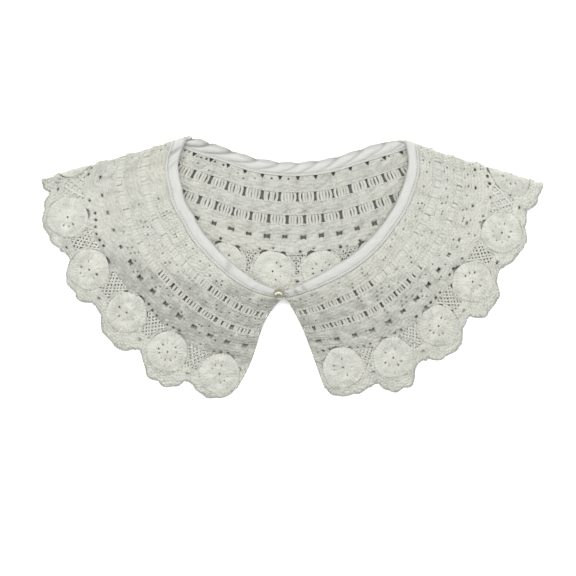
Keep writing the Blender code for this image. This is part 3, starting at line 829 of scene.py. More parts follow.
@dataclass(frozen=True)
class Thread:
    """Smooth sewing and loop thread, twisted."""

    name: str = "loop_thread"
    # The twist's grooves take the darker tone: painted shade following the same wave as the bump.
    light: Colour = (0.76, 0.75, 0.67)
    dark: Colour = (0.55, 0.54, 0.47)
    rough: float = 0.6
    twist_depth: float = 0.0001

    def dress(self) -> bpy.types.Material:
        """Makes the material.

        Returns:
            The material.
        """
        finish = Finish(self.name, Sheen_Weight=0.2)
        laid = finish.attribute("laid", "Vector")
        twist = finish.node(
            "ShaderNodeTexWave",
            {"wave_type": "BANDS", "bands_direction": "DIAGONAL"},
            {"Vector": laid, "Scale": 1.3, "Distortion": 0.5},
            "Fac",
        )
        # Painted shade in the twist's grooves.
        colour = finish.mix(twist, opaque(self.dark), opaque(self.light))
        finish.surface(colour, self.rough + twist * 0.1, twist, self.twist_depth)
        return finish.material


@dataclass
class Wardrobe:
    """Every finish, made once."""

    cotton: bpy.types.Material = field(default_factory=lambda: Cotton().dress())
    satin: bpy.types.Material = field(default_factory=lambda: Satin().dress())
    pearl: bpy.types.Material = field(default_factory=lambda: Pearl().dress())
    thread: bpy.types.Material = field(default_factory=lambda: Thread().dress())


@dataclass
class Faces:
    """Points, four-sided faces and the two attributes of a mesh in the making: where the yarn lies,
    and painted shade with random mottled tone.
    """

    points: Grid
    quads: Grid
    laid: Grid
    hollow: Grid

    @staticmethod
    def joined(parts: Iterable["Faces"]) -> "Faces":
        """Several sets of faces as one.

        Args:
            parts: The sets.
        Returns:
            The whole set.
        """
        parts = list(parts)
        starts = np.cumsum([0] + [len(p.points) for p in parts[:-1]])
        return Faces(
            np.concatenate([p.points for p in parts]),
            np.concatenate([p.quads + start for p, start in zip(parts, starts)]),
            np.concatenate([p.laid for p in parts]),
            np.concatenate([p.hollow for p in parts]),
        )

    def piece(self, name: str, material: bpy.types.Material, slot: str) -> bpy.types.Object:
        """Makes the object.

        Args:
            name: The piece's name.
            material: Its finish.
            slot: The record's material slot; not used.
        Returns:
            The object, riding on the collar.
        """
        used, quads = np.unique(self.quads, return_inverse=True)
        quads = quads.reshape(-1, 4)
        mesh = bpy.data.meshes.new(name)
        mesh.from_pydata(self.points[used].tolist(), [], quads.tolist())
        mesh.shade_smooth()
        laid = mesh.attributes.new("laid", "FLOAT_VECTOR", "POINT")
        laid.data.foreach_set("vector", self.laid[used].astype(np.float32).ravel())
        hollow = mesh.attributes.new("hollow", "FLOAT", "POINT")
        hollow.data.foreach_set("value", self.hollow[used].astype(np.float32))
        mesh.materials.append(material)
        made = bpy.data.objects.new(name, mesh)
        bpy.context.scene.collection.objects.link(made)
        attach(made, "root")
        LOG.info("%s: %d faces", name, len(quads))
        return made


def shell(
    low: Grid, high: Grid, kept: Grid, laid: Grid, hollow: Grid, around: bool = False
) -> Faces:
    """A thin closed piece over one grid of points, with a rim round whatever is cut out.

    Args:
        low, high: The two surfaces, rows by columns by 3, in metres.
        kept: Which cells of the grid are cloth.
        laid, hollow: Attributes of the grid's points.
        around: Whether the last column joins the first.
    Returns:
        Its faces.
    """
    rows, columns = low.shape[:2]
    count = rows * columns
    i, j = np.nonzero(kept)
    nxt = (j + 1) % columns
    here, below = i * columns, (i + 1) * columns
    corner = np.stack([here + j, here + nxt, below + nxt, below + j], 1)
    quads = [corner, corner[:, ::-1] + count]
    edge = np.pad(kept, ((1, 1), (0, 0)))
    side = np.pad(kept, ((0, 0), (1, 1)), mode="wrap" if around else "constant")
    missing = (~edge[i, j], ~side[i, j + 2], ~edge[i + 2, j], ~side[i, j])
    for k, open_side in enumerate(missing):
        first, second = corner[open_side, k], corner[open_side, (k + 1) % 4]
        quads.append(np.stack([second, first, first + count, second + count], 1))
    quads = np.concatenate(quads)
    points = np.concatenate([high.reshape(-1, 3), low.reshape(-1, 3)])
    row, column = rows // 2, columns // 2
    by_column = high[row, (column + 1) % columns] - high[row, column]
    by_row = high[min(row + 1, rows - 1), column] - high[row, column]
    if np.dot(np.cross(by_column, by_row), high[row, column] - low[row, column]) < 0:
        quads = quads[:, ::-1]
    # The second attribute is painted shade mixed with random mottled tone, copied to both sides.
    double = [np.concatenate([a.reshape(count, -1)] * 2) for a in (laid, hollow)]
    return Faces(points, quads, double[0], double[1].ravel())


def strands(
    along: Grid,
    down: Grid,
    height: Grid,
    wide: Grid,
    thick: Grid,
    shade: Union[Grid, float] = 0.0,
    sides: int = 6,
) -> Faces:
    """Yarn laid along lines in cloth coordinates, many lines at a time.

    Args:
        along, down, height: The lines, one a row, in millimetres.
        wide, thick: Half the yarn's width across the cloth and through it.
        shade: How much darker the yarn is, from 0 to 1: painted shade, with random tone where a
            caller adds it.
        sides: Faces round the yarn.
    Returns:
        Closed tubes.
    """
    shapes = np.broadcast_arrays(along, down, height, wide, thick, shade)
    along, down, height, wide, thick, shade = shapes
    lines, points = along.shape
    scale = CLOTH.stretch(along, down)
    steps = [np.gradient(part, axis=1) for part in (along, down, height)]
    steps[0] = steps[0] * scale
    ahead = np.stack(steps, -1)
    ahead /= np.maximum(np.linalg.norm(ahead, axis=-1, keepdims=True), 1e-9)
    across = np.stack([-ahead[..., 1], ahead[..., 0], np.zeros_like(scale)], -1)
    across /= np.maximum(np.linalg.norm(across, axis=-1, keepdims=True), 1e-9)
    above = np.cross(ahead, across)
    turns = 2 * math.pi * np.arange(sides) / sides
    ring = across[..., None, :] * (np.cos(turns)[:, None] * wide[..., None, None])
    ring = ring + above[..., None, :] * (np.sin(turns)[:, None] * thick[..., None, None])
    skin = CLOTH.place(
        along[..., None] + ring[..., 0] / scale[..., None],
        down[..., None] + ring[..., 1],
        height[..., None] + ring[..., 2],
    )
    length = np.cumsum(np.linalg.norm(np.stack(steps, -1), axis=-1), axis=1)
    laid = np.stack(np.broadcast_arrays(turns * 0.9, length[..., None], 0.0), -1)
    base = np.arange(lines)[:, None, None] * points * sides
    ids = base + np.arange(points)[None, :, None] * sides + np.arange(sides)
    turned = np.roll(ids, -1, axis=2)
    wall = np.stack([ids[:, :-1], turned[:, :-1], turned[:, 1:], ids[:, 1:]], -1).reshape(-1, 4)
    caps = []
    for end, order in ((0, -1), (-1, 1)):
        rim = ids[:, end][:, ::order]
        for k in range(1, sides - 2, 2):
            caps.append(np.stack([rim[:, 0], rim[:, k], rim[:, k + 1], rim[:, k + 2]], 1))
    quads = np.concatenate([wall, *caps])
    flat = skin.reshape(-1, 3)
    a, b, c = (flat[wall[0, k]] for k in (0, 1, 3))
    middle = flat[:sides].mean(0)
    if np.dot(np.cross(b - a, c - a), a - middle) < 0:
        quads = quads[:, ::-1]
    return Faces(flat, quads, laid.reshape(-1, 3), np.repeat(shade.ravel(), sides))


@dataclass
class StitchRow:
    """One band of long stitches standing in groups, with a gap between groups."""

    start: float
    end: float
    pitch: float
    gap: float
    posts: int = 5
    pinch: float = 0.25
    overlap: float = 1.1
    points: int = 9
    wide: float = 1.36
    thick: float = 0.74
    spread: float = 0.07
    fuller: float = 0.60
    jitter: float = 0.7

    def lines(self, seed: int) -> tuple[Grid, Grid]:
        """Middles of the posts along the collar, and the middle of each post's group.

        Args:
            seed: Which unevenness.
        Returns:
            The two sets of places.
        """
        middle = (self.start + self.end) / 2
        fine, run = CLOTH.run(middle)
        gaps = np.interp(CLOTH.evenly(middle, self.pitch), fine, run)
        edges = np.concatenate([[-self.gap / 2], gaps, [run[-1] + self.gap / 2]])
        posts, groups = [], []
        for low, high in zip(edges[:-1] + self.gap / 2, edges[1:] - self.gap / 2):
            count = max(1, round((high - low) / (self.pitch - self.gap) * self.posts))
            posts.extend(low + (high - low) * (np.arange(count) + 0.5) / count)
            groups.extend([(low + high) / 2] * count)
        uneven = np.random.default_rng(seed).random(len(posts)) - 0.5
        posts = np.array(posts) + uneven * self.jitter
        return np.interp(posts, run, fine), np.interp(np.array(groups), run, fine)

    def build(self, seed: int, first: float, last: float) -> Faces:
        """The posts that stand between two places along the collar.

        Args:
            seed: Which unevenness.
            first, last: The two places.
        Returns:
            Their faces.
        """
        post, group = self.lines(seed)
        chosen = (post >= first) & (post < last)
        post, group = post[chosen][:, None], group[chosen][:, None]
        rng = np.random.default_rng(seed + 1)
        t = np.linspace(0.0, 1.0, self.points)[None, :]
        down = self.start - self.overlap + t * (self.end - self.start + 2 * self.overlap)
        lean = 1.0 - self.pinch * (2 * t - 1) ** 2
        sway = (rng.random((len(post), 1)) - 0.5) * 0.9 * np.sin(math.pi * t)
        sway = sway + (rng.random((len(post), 1)) - 0.5) * 0.8 * (2 * t - 1)
        along = group + (post - group) * lean + sway
        low, high = CLOTH.heights(along, down, CLOTH.thickness(down), CLOTH.thickness(down))
        height = (low + high) / 2 + (rng.random((len(post), 1)) - 0.5) * 0.3
        swell = 0.94 + 0.26 * (2 * t - 1) ** 2 + (rng.random((len(post), 1)) - 0.5) * 0.24
        doubled = CLOTH.doubled(along, down)
        along = group + (along - group) * (1.0 + self.spread * doubled)
        full = 1.0 + self.fuller * doubled
        # Painted shade: the posts are greyer where the cloth is single, a little darker where
        # doubled and darker towards both ends, where they go into the cloth; own is random tone.
        single = (1.0 - doubled) * np.where(CLOTH.on_back(along), 0.14, 0.28)
        own = (0.25 - 0.1 * doubled) * rng.random((len(post), 1))
        shade = 0.10 + single + 0.14 * doubled + own + 0.2 * (2 * t - 1) ** 4
        shade = shade + STEP_SHADE * shaded_step(along, down)
        thick = self.thick * (1.0 - 0.2 * doubled)
        return strands(along, down, height, self.wide * swell * full, thick * swell, shade)


# The two rows of long stitches, and the place and pitch of the row of eyelets.
OPEN_ROWS = (StitchRow(24.0, 32.0, 15.1, 1.3), StitchRow(43.2, 50.8, 15.2, 1.4))
EYELET_ROW = (61.75, 15.4)
# The gaps under the binding: the row that spaces them, their pitch, place, half width and height.
WEDGES = (11.0, 15.0, 12.2, 1.9, 2.0)
# Place and pitch of the small holes above the border.
BORDER_HOLES = (73.0, 5.7)
# Painted shade: how much greyer the cloth is painted on each panel where it is single.
SINGLE_LAYER_SHADE = {Side.FRONT_LEFT: 0.68, Side.BACK: 0.20, Side.FRONT_RIGHT: 0.38}
# How strong the shadow is where the right front steps down.
STEP_SHADE = 0.42


@dataclass
class LacePanel:
    """One panel of the crocheted cloth, worked in three strips that the open rows join."""

    side: Side
    column: float = 0.95
    row: float = 0.74
    stitch: float = 2.53
    course: float = 2.9
    rounding: float = 1.0
    pit_share: float = 0.15
    finest: float = 0.5
    drawn_in: float = 40.0
    raised: float = 1.25
    lumps: float = 0.22
    worn: float = 0.55
    groove: float = 0.5
    ring_start: float = 17.1
    ring_step: float = 2.6
    ring_stitches: float = 8.4
    bands_end: ClassVar[float] = 72.0
    border: ClassVar[tuple] = (76.0, 8.0)
    scallop: ClassVar[float] = 12.4
    clear_of_fold: ClassVar[float] = 3.5
    strip_edges: ClassVar[tuple] = (3.0, 24.3, 31.7, 43.5, 50.5, 121.0)

    @property
    def narrowing(self) -> float:
        """How far the cloth reaches into each side of an open row: the fronts' rows are lower."""
        return 0.0 if self.side is Side.BACK else 1.3

    @property
    def strips(self) -> tuple:
        """The strips of cloth that the open rows lie between.

        Returns:
            Each strip's start and end from the neck.
        """
        more = self.narrowing
        a, b, c, d, e, f = self.strip_edges
        return (a, b + more), (c - more, d + more), (e - more, f)

    @property
    def span(self) -> tuple[float, float]:
        """Where the panel starts and ends along the collar.

        Returns:
            The two places.
        """
        ends = (0.0, *CLOTH.folds, CLOTH.length)
        k = list(Side).index(self.side)
        return ends[k], ends[k + 1]

    def columns(self) -> Grid:
        """Places along the panel, closer together round a shoulder's bend.

        Returns:
            The places.
        """
        first, last = self.span
        fine = np.linspace(first, last, 4000)
        near = np.min([np.abs(fine - fold) for fold in CLOTH.folds], axis=0)
        plain = 1.0 / self.column
        density = plain + (1.0 / self.finest - plain) * hump(near, 9.0)
        total = np.concatenate([[0.0], np.cumsum((density[1:] + density[:-1]) / 2 * np.diff(fine))])
        return np.interp(np.linspace(0.0, total[-1], round(total[-1]) + 1), total, fine)

    def grid(self, strip: tuple[float, float]) -> tuple[Grid, Grid]:
        """Cloth coordinates of one strip's grid of points, drawn in to the front edge.

        Args:
            strip: Its start and end from the neck.
        Returns:
            Places along and down.
        """
        first, last = self.span
        base = self.columns()
        count = round((strip[1] - strip[0]) / self.row)
        down = np.linspace(*strip, count + 1)[:, None]
        left, right = self.free_edges(down)
        along = np.broadcast_to(base, (count + 1, len(base))).copy()
        if self.side is Side.FRONT_LEFT:
            along = along + left * np.clip(1.0 - base / self.drawn_in, 0.0, 1.0)
        if self.side is Side.FRONT_RIGHT:
            along = along - (last - right) * np.clip(1.0 - (last - base) / self.drawn_in, 0.0, 1.0)
        return along, np.broadcast_to(down, along.shape)

    @staticmethod
    def free_edges(down: Grid) -> tuple[Grid, Grid]:
        """Where the two front edges of the lace lie at a distance from the neck."""
        left, right = CLOTH.front_edges(down)
        return left - 1.7 * ease((down - 8.0) / 6.0), right + 1.4 * ease((down - 10.0) / 10.0)

    @staticmethod
    def ringed(down: Grid) -> Grid:
        """0 in the bands, 1 in the border round the medallions."""
        return ease((down - LacePanel.border[0]) / LacePanel.border[1])

    def holes(self, strip: tuple[float, float]) -> list[tuple]:
        """Holes of a strip: kind, place along and down, half width and half height.

        Args:
            strip: Its start and end from the neck.
        Returns:
            One entry a hole.
        """
        found: list[tuple] = []
        if strip[0] < 10.0:
            row, pitch, d, half, tall = WEDGES
            wedges = CLOTH.evenly(row, pitch)
            found += [(Cut.WEDGE, a, d, half, tall) for a in wedges[CLOTH.on_back(wedges)]]
            for k, a in enumerate(CLOTH.evenly(row, pitch / 4)):
                if CLOTH.on_back(a) and k % 4 != 1 and self.chance(k, 8) > 0.45:
                    here = a + 2.0 * (self.chance(k, 10) - 0.5)
                    d = 11.2 + 2.0 * self.chance(k, 9)
                    half, tall = 0.4 + 0.45 * self.chance(k, 11), 0.45 + 0.4 * self.chance(k, 12)
                    found.append((Cut.ROUND, here, d, half, tall))
        if strip[1] > 60.0:
            down, pitch = EYELET_ROW
            eyelets = CLOTH.evenly(down, pitch)
            full = 1.0 - 0.45 * CLOTH.doubled(eyelets, np.full_like(eyelets, down))
            for k, (a, size) in enumerate(zip(eyelets, full)):
                half = size * (1.9 + 0.7 * self.chance(k, 1))
                tall = size * (1.7 + 0.7 * self.chance(k, 2))
                found.append((Cut.BOW, a, down + 0.8 * (self.chance(k, 3) - 0.5), half, tall))
            for low, high in zip(CLOTH.centres[:-1], CLOTH.centres[1:]):
                found.append((Cut.ROUND, (low + high) / 2, 99.0, 1.5, 0.8))
            for k, a in enumerate(CLOTH.evenly(*BORDER_HOLES)):
                nearest = CLOTH.centres[np.abs(CLOTH.centres - a).argmin()]
                d = 72.6 - 1.4 * math.cos((a - nearest) / 7.0) + 0.9 * (self.chance(k, 4) - 0.5)
                if self.chance(k, 5) > 0.4:
                    half = 0.75 + 0.6 * self.chance(k, 6)
                    found.append((Cut.ROUND, a, d, half, 0.7 + 0.5 * self.chance(k, 7)))
        folds = np.array(CLOTH.folds)
        return [hole for hole in found if np.abs(hole[1] - folds).min() > self.clear_of_fold]

    @staticmethod
    def chance(number: int, seed: int) -> float:
        """A steady scrambled number from 0 to 1."""
        return float(noise_of(np.array(float(number)), float(seed)))

    def clearance(self, along: Grid, down: Grid, strip: tuple[float, float]) -> Grid:
        """Distance of each point to the nearest cut edge, below 0 where nothing is left.

        Args:
            along, down: Cloth coordinates.
            strip: Start and end of their strip.
        Returns:
            The distances.
        """
        clear = np.minimum(down - strip[0], strip[1] - down)
        clear = np.minimum(clear, self.edge_of(along) - down)
        for kind, a, d, half, tall in self.holes(strip):
            rows = np.abs(down[:, 0] - d) < tall + 3.0
            scale = float(CLOTH.stretch(np.array(a), np.array(d)))
            near = np.abs(along[0] - a) * scale < half + 8.0
            if not rows.any() or not near.any():
                continue
            window = np.ix_(rows, near)
            x, y = (along[window] - a) * scale, down[window] - d
            if kind is Cut.WEDGE:
                gap = np.maximum(np.abs(x) - half * (0.5 - 0.5 * y / tall), np.abs(y) - tall)
            elif kind is Cut.BOW:
                waist = 0.5 + 0.5 * np.clip(np.abs(x) / half, 0.0, 1.0) ** 1.5
                gap = np.maximum(np.abs(x) - half, np.abs(y) - tall * waist)
            else:
                gap = (np.hypot(x / half, y / tall) - 1.0) * min(half, tall)
            clear[window] = np.minimum(clear[window], gap)
        if strip[1] > 100.0:
            rows = down[:, 0] > 66.0
            radius, turn = CLOTH.nearest(along[rows], down[rows])
            opening = Medallion.opening(turn, self.side is Side.BACK)
            clear[rows] = np.minimum(clear[rows], radius - opening)
            between = (along[rows] > CLOTH.centres[0]) & (along[rows] < CLOTH.centres[-1])
            net = np.minimum(radius - NetWork.inner, down[rows] - NetWork.top)
            net = np.minimum(net, NetWork.bottom - down[rows])
            clear[rows] = np.minimum(clear[rows], np.where(between, -net, 9.0))
        return clear

    @staticmethod
    def edge_of(along: Grid) -> Grid:
        """How far from the neck the hem lies, with the small scallops of its last row.

        Args:
            along: Places along the collar.
        Returns:
            The lace's hem there.
        """
        point = np.abs(np.sin(along * math.pi / LacePanel.scallop + 0.9 * np.sin(along / 31.0)))
        i = np.clip(np.searchsorted(CLOTH.lobe_edges, along) - 1, 0, len(CLOTH.centres) - 1)
        half = (CLOTH.lobe_edges[i + 1] - CLOTH.lobe_edges[i]) / 2
        up = (along - CLOTH.centres[i]) / half * np.where(along > sum(CLOTH.folds) / 2, -1.0, 1.0)
        up = np.clip(up, -1.0, 1.0)
        shifts = np.array([LOBE_SHIFTS.get(k, (0.0, 0.0)) for k in range(len(CLOTH.centres))])[i]
        slouch = shifts[..., 0] * hump(up - 0.64, 0.34) * ease((1.0 - up) / 0.12)
        slouch = slouch + shifts[..., 1] * hump(up + 0.66, 0.34) * ease((1.0 + up) / 0.12)
        for k, fill in NOTCH_FILLS.items():
            slouch = slouch + fill * hump(along - CLOTH.lobe_edges[k], 4.0)
        from_fold = np.abs(along - CLOTH.folds[0])
        tip = 2.8 * hump(from_fold, 5.0) + 0.7 * hump(from_fold - 10.0, 4.0)
        return CLOTH.hem(along) + 1.7 * (np.sqrt(point) - 0.8) + slouch + tip

    def relief(self, along: Grid, down: Grid, run: Grid, strip: tuple) -> tuple[Grid, Grid]:
        """Height of the stitches, from 0 to about 1, and the pits where four of them meet.

        Args:
            along, down: Cloth coordinates.
            run: Distance in plan along the row.
            strip: Start and end of their strip.
        Returns:
            The height and the pits.
        """
        width = min(strip[1], self.bands_end) - strip[0]
        tall = width / max(1, round(width / self.course))
        phase = (down - strip[0]) / tall
        across = run / self.stitch
        radius, turn = CLOTH.nearest(along, down)
        ringed = self.ringed(down)
        phase = phase * (1.0 - ringed) + ringed * (radius - self.ring_start) / self.ring_step
        across = across * (1.0 - ringed) + ringed * turn * self.ring_stitches
        junction = np.round(phase)
        lean = across + 0.5 * (junction % 2)
        knot = np.round(lean)
        gap = np.hypot((phase - junction) * 2.8, (lean - knot) * self.stitch)
        picked = noise_of(knot + 91.0 * junction, 4.0) < self.pit_share
        pit = hump(gap, 0.75) * picked
        phase = phase + 0.75 * (noise_of(np.floor(across + 0.25), 2.0) - 0.5)
        level = np.floor(phase)
        inner = phase - level
        lean = across + 0.5 * (level % 2) + 0.45 * (inner - 0.5) * np.where(level % 2 > 0, 1, -1)
        number = np.floor(lean)
        beside = lean - number
        ridge = np.sin(math.pi * inner) ** 2
        bead = np.sin(math.pi * beside) ** 2
        own = noise_of(number + 57.0 * level, 1.0)
        raised = 0.12 * ridge + 0.18 * bead + 0.7 * np.sqrt(ridge * bead)
        return raised * (0.6 + 0.8 * own) * (1.0 - 0.7 * pit), pit

    @staticmethod
    def blocks(along: Grid, down: Grid, strip: tuple) -> Grid:
        """How far places lie from the lines between a band's blocks of stitches.

        Args:
            along, down: Cloth coordinates.
            strip: The strip that the band is in.
        Returns:
            0 on a line, rising to 1 away from it and outside the bands.
        """
        row = OPEN_ROWS[0] if strip[0] < 10.0 else OPEN_ROWS[1]
        gaps = CLOTH.evenly((row.start + row.end) / 2, row.pitch)
        phase = np.interp(along, gaps, np.arange(float(len(gaps))))
        band = (1.0 - ease((down - 60.0) / 6.0)) * ease((down - 11.0) / 3.0)
        return 1.0 - band * (1.0 - np.abs(np.sin(math.pi * phase)) ** 0.6)

    def strip(self, strip: tuple[float, float]) -> Faces:
        """One strip of cloth, with its holes cut and its stitches raised.

        Args:
            strip: Its start and end from the neck.
        Returns:
            Its faces.
        """
        along, down = self.grid(strip)
        steps = np.linalg.norm(np.diff(CLOTH.plan(along, down), axis=1), axis=-1)
        run = np.concatenate([np.zeros((len(along), 1)), np.cumsum(steps, axis=1)], 1)
        clear = self.clearance(along, down, strip)
        corners = [clear[:-1, :-1], clear[:-1, 1:], clear[1:, :-1], clear[1:, 1:]]
        kept = np.mean(corners, axis=0) > 0.0
        for _ in range(2):
            one = kept[:-1, :-1] & kept[1:, 1:] & ~kept[:-1, 1:] & ~kept[1:, :-1]
            two = ~kept[:-1, :-1] & ~kept[1:, 1:] & kept[:-1, 1:] & kept[1:, :-1]
            kept[:-1, :-1] &= ~one
            kept[:-1, 1:] &= ~two
        _, pit = self.relief(along, down, run, strip)
        deep = (pit[:-1, :-1] + pit[:-1, 1:] + pit[1:, :-1] + pit[1:, 1:]) / 4
        lone = (deep > 0.52) & (np.min(corners, axis=0) > 1.4) & (down[:-1, :-1] > 12.0)
        beside = [deep[1:-1, :-2], deep[1:-1, 2:], deep[:-2, 1:-1], deep[2:, 1:-1]]
        lone[1:-1, 1:-1] &= deep[1:-1, 1:-1] >= np.max(beside, axis=0)
        lone[[0, -1], :] = False
        lone[:, [0, -1]] = False
        kept &= ~lone
        padded = np.pad(kept, 1)
        around = [padded[:-1, :-1], padded[:-1, 1:], padded[1:, :-1], padded[1:, 1:]]
        touching = np.sum(around, axis=0)
        border = (touching > 0) & (touching < 4)
        border[[0, -1], :] = False
        border[:, [0, -1]] = False
        scale = np.gradient(run, axis=1) / np.gradient(along, axis=1)
        by_run = np.gradient(clear, axis=1) / np.gradient(run, axis=1)
        by_down = np.gradient(clear, axis=0) / np.gradient(down, axis=0)
        steep = np.maximum(by_run**2 + by_down**2, 0.25)
        shift = np.where(border & (np.abs(clear) < 1.1), np.clip(-clear, -0.6, 0.6), 0.0)
        along = along + shift * by_run / steep / scale
        down = down + shift * by_down / steep
        clear = np.where(border, 0.0, np.maximum(clear, 0.0))
        return self.surface(along, down, run, clear, kept, strip)

    def surface(
        self, along: Grid, down: Grid, run: Grid, clear: Grid, kept: Grid, strip: tuple
    ) -> Faces:
        """Both sides of a strip, rounded off towards each cut edge.

        Args:
            along, down: Cloth coordinates.
            run: Distance in plan along the row.
            clear: Distance to the nearest cut edge.
            kept: Which cells are cloth.
            strip: The strip's start and end from the neck.
        Returns:
            Its faces.
        """
        relief, _ = self.relief(along, down, run, strip)
        puff = np.zeros_like(run)
        for k in range(9):
            way, length = 2.4 * k, 3.6 + 1.7 * k
            wave = run * math.cos(way) + down * math.sin(way)
            puff += np.sin(wave * 6.28 / length + 1.7 * k) / 3.0
        bound = ease((down - 9.0) / 3.0)
        bordered = ease((down - 80.0) / 6.0)
        raised = (self.raised + 0.25 * bordered) * relief + self.lumps * puff
        thick = CLOTH.thickness(down) - self.worn + bound * raised
        line = 1.0 - self.blocks(along, down, strip)
        thick = thick - self.groove * line
        from_fold = np.min([np.abs(along - fold) for fold in CLOTH.folds], axis=0)
        swell = np.cos(2.0 * math.pi * (down - 26.0) / 19.4) * hump(from_fold, 6.0)
        thick = thick + 2.2 * swell * ease((down - 14.0) / 6.0)
        past_right = hump(along - CLOTH.folds[1], 7.0)
        thick = thick + 2.4 * past_right * ease((down - 76.0) / 12.0)
        low, high = CLOTH.heights(along, down, thick, thick)
        radius, _ = CLOTH.nearest(along, down)
        seam = 1.0 - ease((radius - 17.4) / 0.8)
        ringed = self.ringed(down)
        edge = np.clip(1.0 - clear / self.rounding, 0.0, 1.0)
        drop = (1.0 - np.sqrt(1.0 - edge**2)) * 0.42 * (high - low) * (1.0 - seam)
        # Painted shade with random mottled tone: darker between the raised stitches; the blotches
        # are random tone.
        blotch = 0.5 * mottle(run, down, 6.5, 1.0) + 0.5 * mottle(run, down, 3.1, 2.0) - 0.5
        hollow = np.clip(0.44 + 0.55 * blotch - 0.75 * relief, 0.0, 1.0)
        hollow = hollow * bound * (1.0 + 0.45 * ringed)
        # Painted shade: greyer where the cloth is single and a little where it is doubled, with
        # random blotches in its strength.
        thin = SINGLE_LAYER_SHADE[self.side] * (1.0 + 1.3 * blotch)
        single = 1.0 - CLOTH.doubled(along, down)
        hollow = hollow + (thin * single + 0.14 * (1.0 - single)) * (1.0 - 0.75 * ringed) * bound
        # Painted shade along the lines between the blocks, and the right front's painted step
        # shadow.
        hollow = hollow + (0.26 * line - 0.04) * bound + STEP_SHADE * shaded_step(along, down)
        # Painted shade: a grey line along the hem's edge and darkening round every cut edge.
        outer = ease((down - 98.0) / 6.0)
        hollow = hollow + (0.45 * hump(clear, 1.8) * (1.0 - seam) - 0.06) * outer
        hollow = np.clip(hollow + 0.30 * (1.0 - seam) * edge**2, 0.0, 1.0)
        laid = np.stack([run, down, np.zeros_like(run)], -1)
        return shell(
            CLOTH.place(along, down, low + drop),
            CLOTH.place(along, down, high - drop),
            kept,
            laid,
            hollow,
        )

    def area(self) -> tuple[float, float, float]:
        """Width, length and area of the panel's flat piece, in metres and square metres.

        Returns:
            The three measures.
        """
        first, last = self.span
        along, down = np.meshgrid(np.linspace(first, last, 300), np.linspace(0.0, 1.0, 80))
        flat = CLOTH.plan(along, down * CLOTH.hem(along)) * MM
        a, b = flat[1:, 1:] - flat[:-1, :-1], flat[1:, :-1] - flat[:-1, 1:]
        size = np.ptp(flat.reshape(-1, 2), axis=0)
        area = float(np.abs(a[..., 0] * b[..., 1] - a[..., 1] * b[..., 0]).sum() / 2)
        return float(size[0]), float(size[1]), area

    def build(self, wardrobe: Wardrobe) -> bpy.types.Object:
        """The panel's cloth and its posts, in one piece.

        Args:
            wardrobe: The finishes.
        Returns:
            The piece.
        """
        parts = [self.strip(strip) for strip in self.strips]
        parts += [row.build(11 + k, *self.span) for k, row in enumerate(OPEN_ROWS)]
        made = Faces.joined(parts).piece(f"crochet_{self.side.value}", wardrobe.cotton, "crochet")
        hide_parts("yoke")
        return made


@dataclass
class ChainLines:
    """Chain stitches that edge the open rows and the hem of one panel."""

    panel: LacePanel
    rows: tuple = (23.6, 32.4, 42.8, 51.2)
    half: float = 0.50
    step: float = 0.62

    def row_line(self, down: float) -> Faces:
        """A chain along one row.

        Args:
            down: The row's distance from the neck.
        Returns:
            Its faces.
        """
        first, last = self.panel.span
        fine, run = CLOTH.run(down)
        inside = (fine >= first) & (fine <= last)
        low, high = run[inside][0], run[inside][-1]
        places = np.linspace(low, high, round((high - low) / self.step) + 1)
        along = np.interp(places, run, fine)
        # Painted shade, a little, along each open row's edge.
        return self.chain(along, np.full_like(along, down), places, lift=0.1, shade=0.16)

    def chain(self, along: Grid, down: Grid, run: Grid, lift: float, shade: float) -> Faces:
        """Yarn that swells and sways once a stitch.

        Args:
            along, down: Cloth coordinates.
            run: Distance along the chain.
            lift: How proud it stands.
            shade: How dark it is: painted shade.
        Returns:
            Its faces.
        """
        turn = 2 * math.pi * run / self.panel.stitch
        thick = CLOTH.thickness(down)
        low, high = CLOTH.heights(along, down, thick, thick)
        share = CLOTH.back_share(along, CLOTH.plan(along, down))
        top = high * (1.0 - share) + low * share
        own = noise_of(np.floor(run / self.panel.stitch), 5.0) - 0.5
        height = top + (1.0 - 2.0 * share) * (lift - 0.3 + 0.25 * own)
        size = self.half * (1.0 + 0.34 * np.cos(turn) + 0.3 * own)
        down = down + 0.3 * np.sin(turn)
        lines = [part[None] for part in (along, down, height, size * 1.15, size)]
        return strands(*lines, shade + 0.3 * own)

    def outline(self) -> tuple[Grid, Grid]:
        """The panel's free edge in cloth coordinates: a front edge and the hem.

        Returns:
            Places along and down.
        """
        first, last = self.panel.span
        first -= 1.1 * (self.panel.side is Side.FRONT_LEFT)
        last += 1.1 * (self.panel.side is Side.FRONT_RIGHT)
        along = np.linspace(first, last, 1500)
        inset = 0.35
        line = [np.stack([along, LacePanel.edge_of(along) - inset], 1)]
        if self.panel.side is not Side.BACK:
            down = np.linspace(11.5, 90.0, 400)
            left, right = LacePanel.free_edges(down)
            if self.panel.side is Side.FRONT_LEFT:
                line = [np.stack([left + inset, down], 1), line[0]]
            else:
                line = [line[0], np.stack([right - inset, down], 1)[::-1]]
        joined = np.concatenate(line)
        return joined[:, 0], joined[:, 1]

    def build(self, wardrobe: Wardrobe) -> bpy.types.Object:
        """All the chains of the panel.

        Args:
            wardrobe: The finishes.
        Returns:
            The piece.
        """
        more = self.panel.narrowing
        parts = [self.row_line(down + more * (-1) ** k) for k, down in enumerate(self.rows)]
        along, down = self.outline()
        steps = np.linalg.norm(np.diff(CLOTH.plan(along, down), axis=0), axis=1)
        run = np.concatenate([[0.0], np.cumsum(steps)])
        places = np.linspace(0.0, run[-1], round(run[-1] / self.step) + 1)
        along, down = np.interp(places, run, along), np.interp(places, run, down)
        # Painted shade: the chain along the free edge is painted dark, a grey line that edges the
        # cloth.
        parts.append(self.chain(along, down, places, lift=-0.25, shade=0.95))
        name = f"chains_{self.panel.side.value}"
        return Faces.joined(parts).piece(name, wardrobe.cotton, "crochet")


